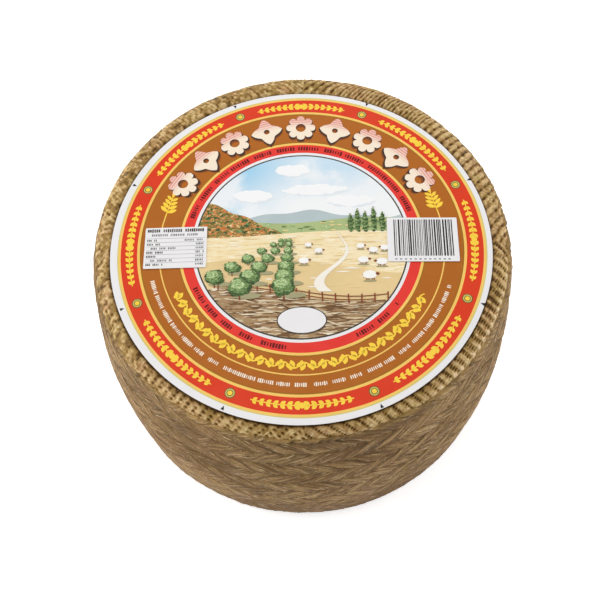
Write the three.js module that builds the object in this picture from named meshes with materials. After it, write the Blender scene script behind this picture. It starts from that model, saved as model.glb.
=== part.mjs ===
// A whole wheel of aged cheese with a round paper label and two small stickers on top.
// Millimetres, +Z up, origin at the middle of the flat base. The front is towards -Y.

import * as THREE from 'three';

// Wheel
const edgeRadius = 95;
const wheelHeight = 104.5;
const sideBulge = 3.25;
const topRounding = 13.2;
const frontFlatReach = 5.5;
const baseRounding = 4.75;
const topRiseAlongX = 0.0054;
const topRiseAlongY = 0.035;
const ovality = 0.35;
const ovalDirection = 0.6;

// Press marks: mat ribs round the top edge, plaited belt rows down the side
const segments = 180;
const matStartRadius = 76;
const matEndDegrees = 75;
const matRibDepth = 0.9;
const matRibSlant = 0.45;
const topArcSteps = 6;
const beltRows = 5.5;
const beltValleyDepth = 1.1;
const beltStrokeDepth = 0.5;
const beltStrokeSlant = 0.75;
const beltWaviness = 0.12;
const beltWaves = 6;
const sideSteps = 17;
const baseArcSteps = 3;

// Paper
const labelRadius = 84.2;
const labelThickness = 0.3;
const labelSides = 120;
const labelCentreX = 0.13;
const labelCentreY = -5.3;
const stickerThickness = 0.2;
const paperGap = 0.3;

const tableSticker = { width: 27.5, depth: 20.8, x: -55.6, y: -5.9, turnDegrees: -0.9 };
const codeSticker = { width: 31.1, depth: 22.4, x: 53.6, y: -7.1, turnDegrees: -2.7 };

const cheeseMaterial = new THREE.MeshStandardMaterial({
  color: 0x8a6f4a,
  roughness: 0.6,
  metalness: 0,
});
const labelMaterial = new THREE.MeshStandardMaterial({
  color: 0xb4692f,
  roughness: 0.45,
  metalness: 0,
});
const stickerMaterial = new THREE.MeshStandardMaterial({
  color: 0xeeeeee,
  roughness: 0.5,
  metalness: 0,
});

// Height of the slightly sloping top plane above a point of it
function topPlaneHeight(x, y) {
  return wheelHeight + topRiseAlongX * x + topRiseAlongY * y;
}

// Radius of the top edge's rounding, which is tighter at the front, where the flat reaches further out
function roundingAt(angle) {
  return topRounding - frontFlatReach * Math.max(0, -Math.sin(angle));
}

// Rings of the wheel's outline from the top's flat to the base's flat. Each has a place that depends
// on the top edge's rounding, an outward direction in the radius and height plane, and the press
// marks that it carries.
function outlineRings() {
  const rings = [
    {
      place: () => ({ radius: matStartRadius, height: wheelHeight }),
      outward: 0,
      upward: 1,
      mat: 0,
      belt: 0,
      row: 0,
    },
  ];

  for (let step = 0; step <= topArcSteps; step += 1) {
    const angle = (step / topArcSteps) * (Math.PI / 2);
    const across = THREE.MathUtils.radToDeg(angle) / matEndDegrees;
    rings.push({
      place: (rounding) => ({
        radius: edgeRadius - rounding * (1 - Math.sin(angle)),
        height: wheelHeight - rounding * (1 - Math.cos(angle)),
      }),
      outward: Math.sin(angle),
      upward: Math.cos(angle),
      mat: across <= 1 ? 1 : 0,
      belt: 0,
      row: 0,
    });
  }

  for (let step = 1; step < sideSteps; step += 1) {
    const down = step / sideSteps;
    rings.push({
      place: (rounding) => ({
        radius: edgeRadius + sideBulge * Math.sin(Math.PI * down),
        height: THREE.MathUtils.lerp(wheelHeight - rounding, baseRounding, down),
      }),
      outward: 1,
      upward: 0,
      mat: 0,
      belt: 1,
      row: down * beltRows,
    });
  }

  for (let step = 0; step <= baseArcSteps; step += 1) {
    const angle = (step / baseArcSteps) * (Math.PI / 2);
    rings.push({
      place: () => ({
        radius: edgeRadius - baseRounding * (1 - Math.cos(angle)),
        height: baseRounding * (1 - Math.sin(angle)),
      }),
      outward: Math.cos(angle),
      upward: -Math.sin(angle),
      mat: 0,
      belt: 0,
      row: beltRows,
    });
  }
  return rings;
}

// The mat's ribs lean towards the middle of each quarter, and meet in a V where two quarters join
function matLean(angle) {
  return Math.sin(4 * angle);
}

// Belt strokes lean one way in one row and the other way in the next
function strokeLean(row) {
  return Math.floor(row) % 2 === 0 ? 1 : -1;
}

// Depth of the press marks below the wheel's outline
function markDepth(ring, angle, isGroove) {
  const waveAngle = beltWaves * angle + Math.floor(ring.row);
  const row = ring.row + beltWaviness * Math.sin(waveAngle);
  const valley = ring.belt * beltValleyDepth * (1 - Math.abs(Math.sin(Math.PI * row)));
  if (!isGroove) return valley;
  return valley + ring.mat * matRibDepth + ring.belt * beltStrokeDepth;
}

function wheelGeometry() {
  const rings = outlineRings();
  const positions = [0, 0, wheelHeight];
  let lean = 0;
  let slide = 0;

  for (const ring of rings) {
    lean += ring.mat * matRibSlant;
    slide += ring.belt * beltStrokeSlant * strokeLean(ring.row);
    for (let index = 0; index < segments; index += 1) {
      const plainAngle = (index / segments) * 2 * Math.PI;
      const shift = lean * matLean(plainAngle) + slide;
      const angle = ((index + shift) / segments) * 2 * Math.PI;
      const depth = markDepth(ring, angle, index % 2 === 0);
      const uneven = ovality * ring.outward * Math.sin(2 * angle + ovalDirection);
      const place = ring.place(roundingAt(angle));
      const radius = place.radius - depth * ring.outward + uneven;
      const x = radius * Math.cos(angle);
      const y = radius * Math.sin(angle);
      const level = place.height - depth * ring.upward;
      const rise = topPlaneHeight(x, y) - wheelHeight;
      positions.push(x, y, level + (rise * level) / wheelHeight);
    }
  }
  positions.push(0, 0, 0);

  const vertexAt = (ring, index) => 1 + ring * segments + (index % segments);
  const baseCentre = 1 + rings.length * segments;
  const faces = [];
  for (let index = 0; index < segments; index += 1) {
    faces.push(0, vertexAt(0, index), vertexAt(0, index + 1));
    for (let ring = 0; ring < rings.length - 1; ring += 1) {
      const upperLeft = vertexAt(ring, index);
      const upperRight = vertexAt(ring, index + 1);
      const lowerLeft = vertexAt(ring + 1, index);
      const lowerRight = vertexAt(ring + 1, index + 1);
      faces.push(lowerLeft, lowerRight, upperRight);
      faces.push(lowerLeft, upperRight, upperLeft);
    }
    const last = rings.length - 1;
    faces.push(baseCentre, vertexAt(last, index + 1), vertexAt(last, index));
  }

  const geometry = new THREE.BufferGeometry();
  geometry.setAttribute('position', new THREE.Float32BufferAttribute(positions, 3));
  geometry.setIndex(faces);
  geometry.computeVertexNormals();
  return geometry;
}

// Lays a thin sheet on the sloping top, its underside a given distance above the top plane
function layOnTop(mesh, x, y, turnDegrees, clearance, thickness) {
  const upward = new THREE.Vector3(-topRiseAlongX, -topRiseAlongY, 1).normalize();
  const slope = new THREE.Quaternion().setFromUnitVectors(new THREE.Vector3(0, 0, 1), upward);
  const turn = new THREE.Quaternion().setFromAxisAngle(
    new THREE.Vector3(0, 0, 1),
    THREE.MathUtils.degToRad(turnDegrees),
  );
  mesh.quaternion.copy(slope).multiply(turn);
  mesh.position.set(x, y, topPlaneHeight(x, y));
  mesh.position.addScaledVector(upward, clearance + thickness / 2);
}

function cheeseWheel() {
  const wheel = new THREE.Mesh(wheelGeometry(), cheeseMaterial);
  wheel.name = 'cheese_wheel';
  return wheel;
}

function roundLabel() {
  const disc = new THREE.CylinderGeometry(labelRadius, labelRadius, labelThickness, labelSides);
  disc.rotateX(Math.PI / 2);
  const label = new THREE.Mesh(disc, labelMaterial);
  label.name = 'round_label';
  layOnTop(label, labelCentreX, labelCentreY, 0, paperGap, labelThickness);
  return label;
}

function sticker(name, size) {
  const sheet = new THREE.BoxGeometry(size.width, size.depth, stickerThickness);
  const mesh = new THREE.Mesh(sheet, stickerMaterial);
  mesh.name = name;
  const clearance = paperGap + labelThickness + paperGap;
  layOnTop(mesh, size.x, size.y, size.turnDegrees, clearance, stickerThickness);
  return mesh;
}

const cheese = new THREE.Group();
cheese.add(cheeseWheel());
cheese.add(roundLabel());
cheese.add(sticker('table_sticker', tableSticker));
cheese.add(sticker('code_sticker', codeSticker));

export default cheese;
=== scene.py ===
# A whole wheel of aged cheese with a round paper label and two stickers, in a pale studio.
# The front is towards -Y. Lengths are in metres, written as millimetres times mm.

import bmesh
import bpy
import math
import numpy as np
import random
from mathutils import Matrix, Vector


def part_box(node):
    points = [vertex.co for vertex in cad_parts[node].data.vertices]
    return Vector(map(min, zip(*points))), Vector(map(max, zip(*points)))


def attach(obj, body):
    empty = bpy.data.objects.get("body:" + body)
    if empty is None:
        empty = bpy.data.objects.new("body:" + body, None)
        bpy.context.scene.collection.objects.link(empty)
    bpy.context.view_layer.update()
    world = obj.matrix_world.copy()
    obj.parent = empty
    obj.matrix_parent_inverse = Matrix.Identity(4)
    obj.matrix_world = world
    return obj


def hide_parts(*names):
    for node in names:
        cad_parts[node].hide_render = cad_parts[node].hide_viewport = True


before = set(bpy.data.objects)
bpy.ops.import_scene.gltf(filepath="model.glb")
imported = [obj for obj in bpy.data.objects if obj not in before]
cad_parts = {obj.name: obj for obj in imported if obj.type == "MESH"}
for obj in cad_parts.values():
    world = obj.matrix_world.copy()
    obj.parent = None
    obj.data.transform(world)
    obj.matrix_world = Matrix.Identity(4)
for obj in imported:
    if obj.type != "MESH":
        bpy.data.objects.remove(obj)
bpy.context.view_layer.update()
print("Frame loaded:", ", ".join(sorted(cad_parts)))

mm = 0.001

top = {
    "height": 104.5 * mm,     # of the top plane above the middle of the base
    "riseX": 0.0054,          # slope of the top plane
    "riseY": 0.035,
}


# Small helpers

def screenColour(red, green, blue):
    # a screen colour, 0 to 255, as the linear colour a shader takes
    def linear(value):
        share = value / 255
        return share / 12.92 if share <= 0.04045 else ((share + 0.055) / 1.055) ** 2.4
    return (linear(red), linear(green), linear(blue), 1.0)


def darker(colour, share):
    return (colour[0] * share, colour[1] * share, colour[2] * share, 1.0)


def linkMesh(name, mesh):
    piece = bpy.data.objects.new(name, mesh)
    bpy.context.scene.collection.objects.link(piece)
    return piece


def finishPiece(piece, node):
    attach(piece, "root")
    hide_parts(node)


# Materials

def addNode(material, kind, **settings):
    node = material.node_tree.nodes.new(kind)
    for key, value in settings.items():
        if key in node.inputs:
            node.inputs[key].default_value = value
        else:
            setattr(node, key, value)
    return node


def link(material, output, target):
    material.node_tree.links.new(output, target)


def feed(material, socket, value):
    # another node's output is linked to a socket, and a plain value is set on it
    if isinstance(value, bpy.types.NodeSocket):
        link(material, value, socket)
    else:
        socket.default_value = value


def mixColour(material, factor, first, second):
    mix = addNode(material, "ShaderNodeMix", data_type="RGBA")
    for number, value in ((0, factor), (6, first), (7, second)):
        feed(material, mix.inputs[number], value)
    return mix.outputs[2]


def mathNode(material, operation, first, second=0.0):
    node = addNode(material, "ShaderNodeMath", operation=operation)
    feed(material, node.inputs[0], first)
    feed(material, node.inputs[1], second)
    return node.outputs[0]


def mapRange(material, value, low, high, toLow, toHigh):
    node = addNode(material, "ShaderNodeMapRange", interpolation_type="SMOOTHSTEP")
    link(material, value, node.inputs["Value"])
    for name, number in (("From Min", low), ("From Max", high), ("To Min", toLow), ("To Max", toHigh)):
        node.inputs[name].default_value = number
    return node.outputs["Result"]


def noise(material, vector, size, detail=3.0, roughness=0.55):
    node = addNode(material, "ShaderNodeTexNoise", Scale=1 / size, Detail=detail, Roughness=roughness)
    link(material, vector, node.inputs["Vector"])
    return node.outputs["Fac"]


def stretched(material, place, scale, shift=(0, 0, 0)):
    node = addNode(material, "ShaderNodeMapping")
    node.inputs["Location"].default_value = shift
    node.inputs["Scale"].default_value = scale
    link(material, place, node.inputs["Vector"])
    return node.outputs["Vector"]


def separate(material, vector):
    node = addNode(material, "ShaderNodeSeparateXYZ")
    link(material, vector, node.inputs[0])
    return node.outputs


def bumped(material, height, strength, distance, below=None):
    # a bump, over the one below it where there is one
    node = addNode(material, "ShaderNodeBump", Strength=strength, Distance=distance)
    link(material, height, node.inputs["Height"])
    if below:
        link(material, below, node.inputs["Normal"])
    return node.outputs["Normal"]


def objectPlace(material):
    return addNode(material, "ShaderNodeTexCoord").outputs["Object"]


def attribute(material, name, output="Fac"):
    return addNode(material, "ShaderNodeAttribute", attribute_name=name).outputs[output]


def newMaterial(name):
    material = bpy.data.materials.new(name)
    material.use_nodes = True
    return material, material.node_tree.nodes["Principled BSDF"]


paperFinish = {
    "mottleSize": 9 * mm,
    "grainSize": 0.35 * mm,
    "bump": 0.012 * mm,
    "gloss": 0.15,
    "roughness": 0.42,
}


def paperGrain(material, shader, place):
    # the low gloss and the fine fibre grain of coated paper
    grain = noise(material, place, paperFinish["grainSize"], 2.0)
    shader.inputs["Specular IOR Level"].default_value = paperFinish["gloss"]
    link(material, bumped(material, grain, 0.5, paperFinish["bump"]), shader.inputs["Normal"])
    return grain


def printedInk(name, colour, shade):
    # ink on coated paper, with faint mottling and uneven gloss
    material, shader = newMaterial(name)
    place = objectPlace(material)
    mottle = noise(material, place, paperFinish["mottleSize"])
    grain = paperGrain(material, shader, place)
    tone = colour
    for value, low, high, most in ((mottle, 0.35, 0.65, 0.6), (grain, 0.3, 0.7, 0.5)):
        share = mapRange(material, value, low, high, 0.0, most)
        tone = mixColour(material, share, tone, darker(colour, shade))
    link(material, tone, shader.inputs["Base Color"])
    middle = paperFinish["roughness"]
    rough = mapRange(material, mottle, 0.3, 0.7, middle - 0.05, middle + 0.08)
    link(material, rough, shader.inputs["Roughness"])
    return material


plainInks = (
    # ink, its screen colour, and the share that its mottling darkens it to
    ("fringe", 216, 204, 122, 0.92), ("yellow", 248, 203, 104, 0.92), ("leafYellow", 255, 214, 70, 0.92),
    ("ochre", 160, 104, 22, 0.92), ("red", 223, 60, 28, 0.92), ("innerRed", 232, 58, 48, 0.92),
    ("brown", 178, 101, 26, 0.92), ("darkLine", 66, 62, 56, 0.92), ("black", 34, 32, 30, 0.8),
    ("grey", 112, 112, 118, 0.92), ("maroon", 104, 16, 20, 0.92), ("cream", 250, 236, 216, 0.92),
    ("olive", 112, 98, 34, 0.92), ("nearShadow", 66, 46, 34, 0.92), ("farShadow", 136, 72, 28, 0.92),
    ("cloud", 246, 246, 246, 0.98), ("cloudBase", 226, 232, 236, 0.98), ("ridge", 186, 200, 202, 0.9),
    ("farMeadow", 178, 194, 134, 0.84), ("scrubOrange", 206, 120, 62, 0.86),
    ("scrubCream", 232, 214, 150, 0.9), ("fieldShade", 234, 206, 150, 0.9), ("path", 251, 245, 232, 0.92),
    ("bushShadow", 170, 164, 124, 0.86), ("earthDark", 108, 78, 48, 0.84),
    ("earthPale", 226, 208, 176, 0.9), ("wool", 250, 248, 242, 0.92), ("timber", 140, 72, 44, 0.8),
)
inks = {"white": printedInk("paperWhite", screenColour(237, 235, 235), 0.97)}
for inkName, red, green, blue, shade in plainInks:
    inks[inkName] = printedInk(inkName + "Ink", screenColour(red, green, blue), shade)


def speckledInk(name, width, height, edge, ground, *patches):
    # print in patches of several colours over a ground; width and height are a patch's size, and each
    # patch colour comes with the noise level above which it shows
    material, shader = newMaterial(name + "Ink")
    place = objectPlace(material)
    tone = screenColour(*ground)
    for number, (colour, cover) in enumerate(patches):
        shift = (3.7 * number, 5.1 * number, 0)
        patchPlace = stretched(material, place, (1 / width, 1 / height, 1 / height), shift)
        share = mapRange(material, noise(material, patchPlace, 1.0, 2.0, 0.6), cover, cover + edge, 0.0, 1.0)
        tone = mixColour(material, share, tone, screenColour(*colour))
    link(material, tone, shader.inputs["Base Color"])
    grain = paperGrain(material, shader, place)
    link(material, mapRange(material, grain, 0.3, 0.7, 0.38, 0.5), shader.inputs["Roughness"])
    inks[name] = material


for speckled in (
        ("scrubHill", 1.5 * mm, 0.9 * mm, 0.05, (196, 142, 82), ((214, 122, 66), 0.5),
         ((232, 214, 150), 0.58), ((118, 118, 58), 0.5), ((70, 82, 40), 0.57)),
        ("field", 7 * mm, 0.8 * mm, 0.12, (244, 226, 184), ((236, 208, 152), 0.5), ((250, 240, 214), 0.56)),
        ("bushDark", 0.8 * mm, 0.6 * mm, 0.05, (66, 90, 50), ((96, 122, 68), 0.52), ((42, 60, 34), 0.56)),
        ("bushMid", 0.8 * mm, 0.6 * mm, 0.05, (104, 132, 78), ((150, 176, 116), 0.54), ((66, 90, 50), 0.57)),
        ("bushLight", 0.8 * mm, 0.6 * mm, 0.05, (158, 186, 124), ((206, 220, 170), 0.53),
         ((108, 138, 82), 0.56)),
        ("earth", 8 * mm, 0.9 * mm, 0.05, (168, 136, 98), ((116, 84, 52), 0.5), ((214, 194, 160), 0.56),
         ((238, 226, 202), 0.62))):
    speckledInk(*speckled)


def skyInk():
    # pale sky with a blue patch that fades into cloud white
    material, shader = newMaterial("skyInk")
    place = objectPlace(material)
    parts = separate(material, place)
    across = mapRange(material, parts["X"], 0.0, -34 * mm, 0.0, 0.55)
    up = mapRange(material, parts["Y"], 12 * mm, 36 * mm, 0.0, 0.55)
    drift = mapRange(material, noise(material, place, 26 * mm, 5.0), 0.4, 0.56, 0.15, 1.0)
    blue = mathNode(material, "MULTIPLY", mathNode(material, "ADD", across, up), drift)
    tone = mixColour(material, blue, screenColour(240, 241, 241), screenColour(150, 203, 232))
    link(material, tone, shader.inputs["Base Color"])
    shader.inputs["Roughness"].default_value = 0.44
    return material


inks["sky"] = skyInk()
print("Inks mixed:", len(inks))


# Rind: two finishes, one for the mat-pressed rim and one for the plaited side. The mesh carries
# "hollow", below 0 on a knob, 0 on a ridge and 1 in a pit, and "fibre", a place along and across the
# grass fibres. The hollow share paints shade into the pits and valleys and a highlight onto the ridges
# and knobs, together with the rind's own uneven tone.

rindFinishes = {
    "rim": {
        "ridge": (224, 193, 138), "flat": (190, 155, 93), "mid": (152, 118, 58), "hollow": (84, 54, 18),
        "warm": (190, 146, 100), "glint": (250, 236, 184), "knobHighlight": (242, 214, 176),
        "olive": (176, 152, 74), "pink": (206, 152, 112),
        "roughness": 0.52, "streak": 0.35, "speck": 0.6, "stroke": 0.12, "upper": 0.0,
    },
    "side": {
        "ridge": (178, 145, 96), "flat": (145, 113, 67), "mid": (116, 86, 46), "hollow": (70, 47, 20),
        "warm": (150, 112, 68), "glint": (226, 204, 160), "knobHighlight": (200, 170, 130),
        "olive": (140, 112, 56), "pink": (160, 118, 82),
        "roughness": 0.56, "streak": 0.7, "speck": 0.3, "stroke": 0.7, "upper": 0.6,
    },
}
rindGrain = {
    "patchSize": 34 * mm, "tintSize": 7 * mm, "spotSize": 5 * mm, "grainSize": 0.9 * mm,
    "speckSize": 1.1 * mm, "fibreLength": 13 * mm, "fibreWidth": 0.75 * mm, "glintLength": 7 * mm,
    "glintWidth": 0.4 * mm, "strokeLength": 16 * mm, "strokePitch": 1.5 * mm,
    "bump": 0.14 * mm, "fibreBump": 0.3 * mm, "strokeBump": 0.3 * mm, "gloss": 0.16,
    "upperFrom": 96.2 * mm, "upperTo": 99.6 * mm,   # between these heights the side takes the rim's tone
}


def drawnOutNoise(material, place, length, width, detail):
    # noise drawn out along the first direction of a place
    return noise(material, stretched(material, place, (1 / length, 1 / width, 1)), 1.0, detail, 0.6)


def fibreStrokes(material, place):
    # thin dark lines between neighbouring fibres, painted shade in the grooves that the bump cuts, that fade
    # in and out along their length
    turns = 2 * math.pi / rindGrain["strokePitch"]
    across = mathNode(material, "MULTIPLY", separate(material, place)["Y"], turns)
    line = mapRange(material, mathNode(material, "COSINE", across), -0.25, -0.9, 0.0, 1.0)
    run = drawnOutNoise(material, place, rindGrain["strokeLength"], rindGrain["strokePitch"], 0.0)
    return mathNode(material, "MULTIPLY", line, mapRange(material, run, 0.38, 0.56, 0.1, 1.0))


def rindMaterial(name, finish):
    material, shader = newMaterial(name)
    place = objectPlace(material)
    hollow = attribute(material, "hollow")
    fibrePlace = attribute(material, "fibre", "Vector")
    fibres = drawnOutNoise(material, fibrePlace, rindGrain["fibreLength"], rindGrain["fibreWidth"], 1.0)
    hairGlints = drawnOutNoise(material, fibrePlace, rindGrain["glintLength"], rindGrain["glintWidth"], 1.0)
    strokes = fibreStrokes(material, fibrePlace)
    patches = noise(material, place, rindGrain["patchSize"], 4.0)
    tints = noise(material, place, rindGrain["tintSize"], 2.0, 0.5)
    spots = noise(material, place, rindGrain["spotSize"], 4.0, 0.6)
    grain = noise(material, place, rindGrain["grainSize"], 3.0, 0.6)
    specks = noise(material, place, rindGrain["speckSize"], 2.0, 0.7)
    streak = finish["streak"]

    def layered(tone, rows):
        # lays colours over a tone, each by what shows it, its range and the share at both ends of that
        for value, low, high, shareLow, shareHigh, colour in rows:
            share = mapRange(material, value, low, high, shareLow, shareHigh)
            tone = mixColour(material, share, tone, screenColour(*finish[colour]))
        return tone

    # the ridge colour on the ridges is a painted highlight; the mid and hollow colours in the pits and the
    # dark lines between fibres are painted shade; the tints, spots, fibre streaks and grain are the rind's
    # own tone
    tone = layered(screenColour(*finish["flat"]), (
        (patches, 0.38, 0.62, 0.0, 0.8, "warm"),
        (tints, 0.55, 0.7, 0.0, 0.6, "pink"),
        (tints, 0.45, 0.3, 0.0, 0.7, "olive"),
        (spots, 0.5, 0.72, 0.0, 0.45, "ridge"),
        (hollow, 0.0, 0.3, 0.7, 0.0, "ridge"),
        (fibres, 0.5, 0.68, 0.0, streak, "ridge"),
        (fibres, 0.5, 0.32, 0.0, streak, "hollow"),
        (strokes, 0.0, 1.0, 0.0, finish["stroke"], "hollow"),
        (hollow, 0.22, 0.5, 0.0, 0.8, "mid"),
        (hollow, 0.45, 1.0, 0.0, 0.95, "hollow"),
        (grain, 0.4, 0.7, 0.0, 0.3, "hollow")))
    if finish["upper"] > 0:
        wrapPlace = addNode(material, "ShaderNodeUVMap", uv_map="wrap").outputs["UV"]
        rise = mapRange(material, separate(material, wrapPlace)["Y"],
                        rindGrain["upperFrom"], rindGrain["upperTo"], 0.0, finish["upper"])
        worn = mathNode(material, "MULTIPLY", rise, mapRange(material, spots, 0.35, 0.6, 0.3, 1.0))
        tone = mixColour(material, worn, tone, screenColour(*rindFinishes["rim"]["flat"]))
    # the pale knob colour on the knobs and the glint colour along thin streaks are painted highlights
    tone = layered(tone, (
        (hollow, -0.05, -0.4, 0.0, 0.75, "knobHighlight"),
        (hairGlints, 0.66, 0.76, 0.0, streak, "glint")))
    high = mapRange(material, hollow, 0.1, 0.4, 1.0, 0.0)      # glints lie on the ridges, not in the pits
    # bright specks on the ridges in the glint colour are painted highlights
    bright = mapRange(material, specks, 0.57, 0.68, 0.0, finish["speck"])
    glint = mathNode(material, "MULTIPLY", bright, high)
    tone = mixColour(material, glint, tone, screenColour(*finish["glint"]))
    link(material, tone, shader.inputs["Base Color"])
    shader.inputs["Specular IOR Level"].default_value = rindGrain["gloss"]
    low = finish["roughness"]
    link(material, mapRange(material, spots, 0.3, 0.7, low, low + 0.16), shader.inputs["Roughness"])

    normal = bumped(material, grain, 0.6, rindGrain["bump"])
    normal = bumped(material, fibres, 0.7, rindGrain["fibreBump"], normal)
    normal = bumped(material, strokes, finish["stroke"], -rindGrain["strokeBump"], normal)
    link(material, normal, shader.inputs["Normal"])
    return material


rimRind = rindMaterial("rimRind", rindFinishes["rim"])
sideRind = rindMaterial("sideRind", rindFinishes["side"])


# Wheel

wheel = {
    "edgeRadius": 95 * mm,
    "bulge": 3.25 * mm,
    "topRounding": 13.2 * mm,
    "frontFlatReach": 5.5 * mm,      # the flat reaches further out at the front, where the edge is tighter
    "baseRounding": 4.75 * mm,
    "ovality": 0.35 * mm,
    "ovalDirection": 0.6,
    "seamAngle": math.radians(54),   # how far round the top edge the belt's edge lies
    "seamFront": math.radians(14),   # and how much further at the front
    "seamSway": math.radians(4),
    "seamGap": 0.1 * mm,
    "seamDepth": 1.8 * mm,
    "seamHeading": 267,
    # how far a part stands out, at which heading in degrees, and how near that it starts and is full
    "backSwell": (0.75 * mm, 110, 0.1, 0.6),
    "frontSwell": (0.45 * mm, 288, 0.15, 0.65),
}


def roundingAt(around):
    return wheel["topRounding"] - wheel["frontFlatReach"] * np.maximum(0, -np.sin(around))


def valueNoise(around, along, cellsAround, seed, cellsAlong=97):
    # smooth noise from 0 to 1 that closes on itself round the wheel; along is in cells
    values = np.random.default_rng(seed).random((cellsAround, cellsAlong))
    turns = around / (2 * np.pi) * cellsAround
    column = np.floor(turns).astype(int)
    row = np.floor(along).astype(int)
    fx = turns - column
    fy = along - row
    fx = fx * fx * (3 - 2 * fx)
    fy = fy * fy * (3 - 2 * fy)

    def rowAt(number):
        left, right = values[column % cellsAround, number], values[(column + 1) % cellsAround, number]
        return left * (1 - fx) + right * fx

    return rowAt(row % cellsAlong) * (1 - fy) + rowAt((row + 1) % cellsAlong) * fy


def hashed(first, second, seed):
    # one steady random number from 0 to 1 for each pair of whole numbers
    mixed = np.sin(first * 127.1 + second * 311.7 + seed * 74.7) * 43758.5453
    return mixed - np.floor(mixed)


def smoothStep(value, low, high):
    share = np.clip((value - low) / (high - low), 0, 1)
    return share * share * (3 - 2 * share)


def turnOf(around):
    # degrees round the wheel, from the right: 90 is the back and 270 the front
    return np.mod(np.degrees(around), 360)


def between(turn, fromStart, fromEnd, toStart, toEnd):
    # rises from 0 to 1 over the first two turns, and falls again over the last two
    return smoothStep(turn, fromStart, fromEnd) * (1 - smoothStep(turn, toStart, toEnd))


def towards(around, heading):
    # 1 in the direction of a heading in degrees, 0 at right angles to it and behind
    return np.maximum(0, np.cos(around - math.radians(heading)))


def seamBend(around):
    # how far round the top edge the belt's edge lies, which is not quite even
    level = np.zeros_like(around)
    sway = valueNoise(around, level, 26, 9) + 0.5 * valueNoise(around, level, 90, 10)
    front = wheel["seamFront"] * towards(around, wheel["seamHeading"]) ** 3
    return wheel["seamAngle"] + front + wheel["seamSway"] * (sway - 0.75)


def seamDropAt(around):
    # how far below the top plane the belt's edge lies
    return roundingAt(around) * (1 - np.cos(seamBend(around)))


def aroundWheel(columns):
    # one angle more than the mesh has columns, so that what is painted closes without a smear
    return np.linspace(0, 2 * np.pi, columns + 1)[None, :]


def gridPiece(name, around, radius, level, hollow, fibre, material, wrapHeight=None):
    # closed skin from rows of points that run from the upper cap to the lower cap
    rows, columns = radius.shape[0], radius.shape[1] - 1
    uneven = wheel["ovality"] * np.sin(2 * around + wheel["ovalDirection"])
    radius = radius + uneven * np.clip(radius / wheel["edgeRadius"] * 4 - 3, 0, 1)
    x = radius * np.cos(around)
    y = radius * np.sin(around)
    z = level + (top["riseX"] * x + top["riseY"] * y) * level / top["height"]
    points = np.stack([x, y, z], axis=-1)[:, :-1].reshape(-1, 3)
    ends = np.array([[0, 0, level[0].mean()], [0, 0, level[-1].mean()]])
    index = np.arange(rows * columns).reshape(rows, columns)
    nextIndex = np.roll(index, -1, axis=1)
    quads = np.stack([index[1:], nextIndex[1:], nextIndex[:-1], index[:-1]], axis=-1).reshape(-1, 4)
    upper, lower = rows * columns, rows * columns + 1
    faces = quads.tolist()
    faces += [(upper, int(a), int(b)) for a, b in zip(index[0], nextIndex[0])]
    faces += [(lower, int(b), int(a)) for a, b in zip(index[-1], nextIndex[-1])]
    mesh = bpy.data.meshes.new(name)
    mesh.from_pydata(np.concatenate([points, ends]).tolist(), [], faces)
    mesh.polygons.foreach_set("use_smooth", [True] * len(mesh.polygons))
    mesh.update()

    def perCorner(values):
        # the points' values at each face's corners; the caps' are 0
        corners = np.stack([values[1:, :-1], values[1:, 1:], values[:-1, 1:], values[:-1, :-1]], axis=2)
        flat = corners.reshape(-1, values.shape[-1])
        caps = np.zeros((6 * columns, values.shape[-1]))
        return np.concatenate([flat, caps]).astype(np.float32).ravel()

    hollowData = mesh.attributes.new("hollow", "FLOAT", "POINT")
    hollowData.data.foreach_set("value", np.append(hollow[:, :-1].ravel(), [0, 0]).astype(np.float32))
    mesh.attributes.new("fibre", "FLOAT_VECTOR", "CORNER").data.foreach_set("vector", perCorner(fibre))
    wrap = np.stack([around * wheel["edgeRadius"], level if wrapHeight is None else wrapHeight], axis=-1)
    mesh.uv_layers.new(name="wrap").data.foreach_set("uv", perCorner(wrap))
    mesh.materials.append(material)
    finishPiece(linkMesh(name, mesh), "cheese_wheel")
    print("Made", name, "with", 2 * len(quads) + 2 * columns, "triangles")


def addRows(table, first, last):
    # repeats the first and the last row of a table, first and last times
    return np.concatenate([table[:1]] * first + [table] + [table[-1:]] * last)


matMarks = {
    "startRadius": 76 * mm,
    "columns": 1600,
    "rows": 58,
    "wander": 1.2 * mm,
    "crown": 0.3 * mm,
    "knotDepth": 0.25 * mm,
    "lumpDepth": 0.5 * mm,
    "knotSize": 1.5 * mm,
    "speckSize": 0.9 * mm,
    "lumpSize": 7 * mm,
    "blotchSize": 5 * mm,
    "wornTurns": (66, 112, 214, 236),    # in degrees round the wheel
    "knobTurns": (298, 306, 344, 352),
    "knobHeight": 0.7 * mm,
    "knobInset": 1.3 * mm,      # from the print's outer edge to the middle of the knobs
    "knobReach": 0.9 * mm,
    "paperDent": 0.7 * mm,      # how deep the rind dips under the label's edge
    "dentReach": 0.75 * mm,
    "shadowReach": 1.9 * mm,    # of the painted shadow of the label's edge, outside the label at the front
    "tuckRise": 0.2 * mm,
    "wanderSize": 9 * mm,
    "strengthSize": 16 * mm,
    # how much each mark adds to the hollow share, which darkens the rind
    # the dent's tone and the label shadow's tone are painted shade under and beside the label's edge
    "tone": {"knot": 0.6, "speck": 0.35, "lump": 0.2, "wornBlotch": 0.5, "wornKnot": 0.4, "worn": 0.27,
             "dent": 0.75, "paintedLabelShadow": 0.22},
}
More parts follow.
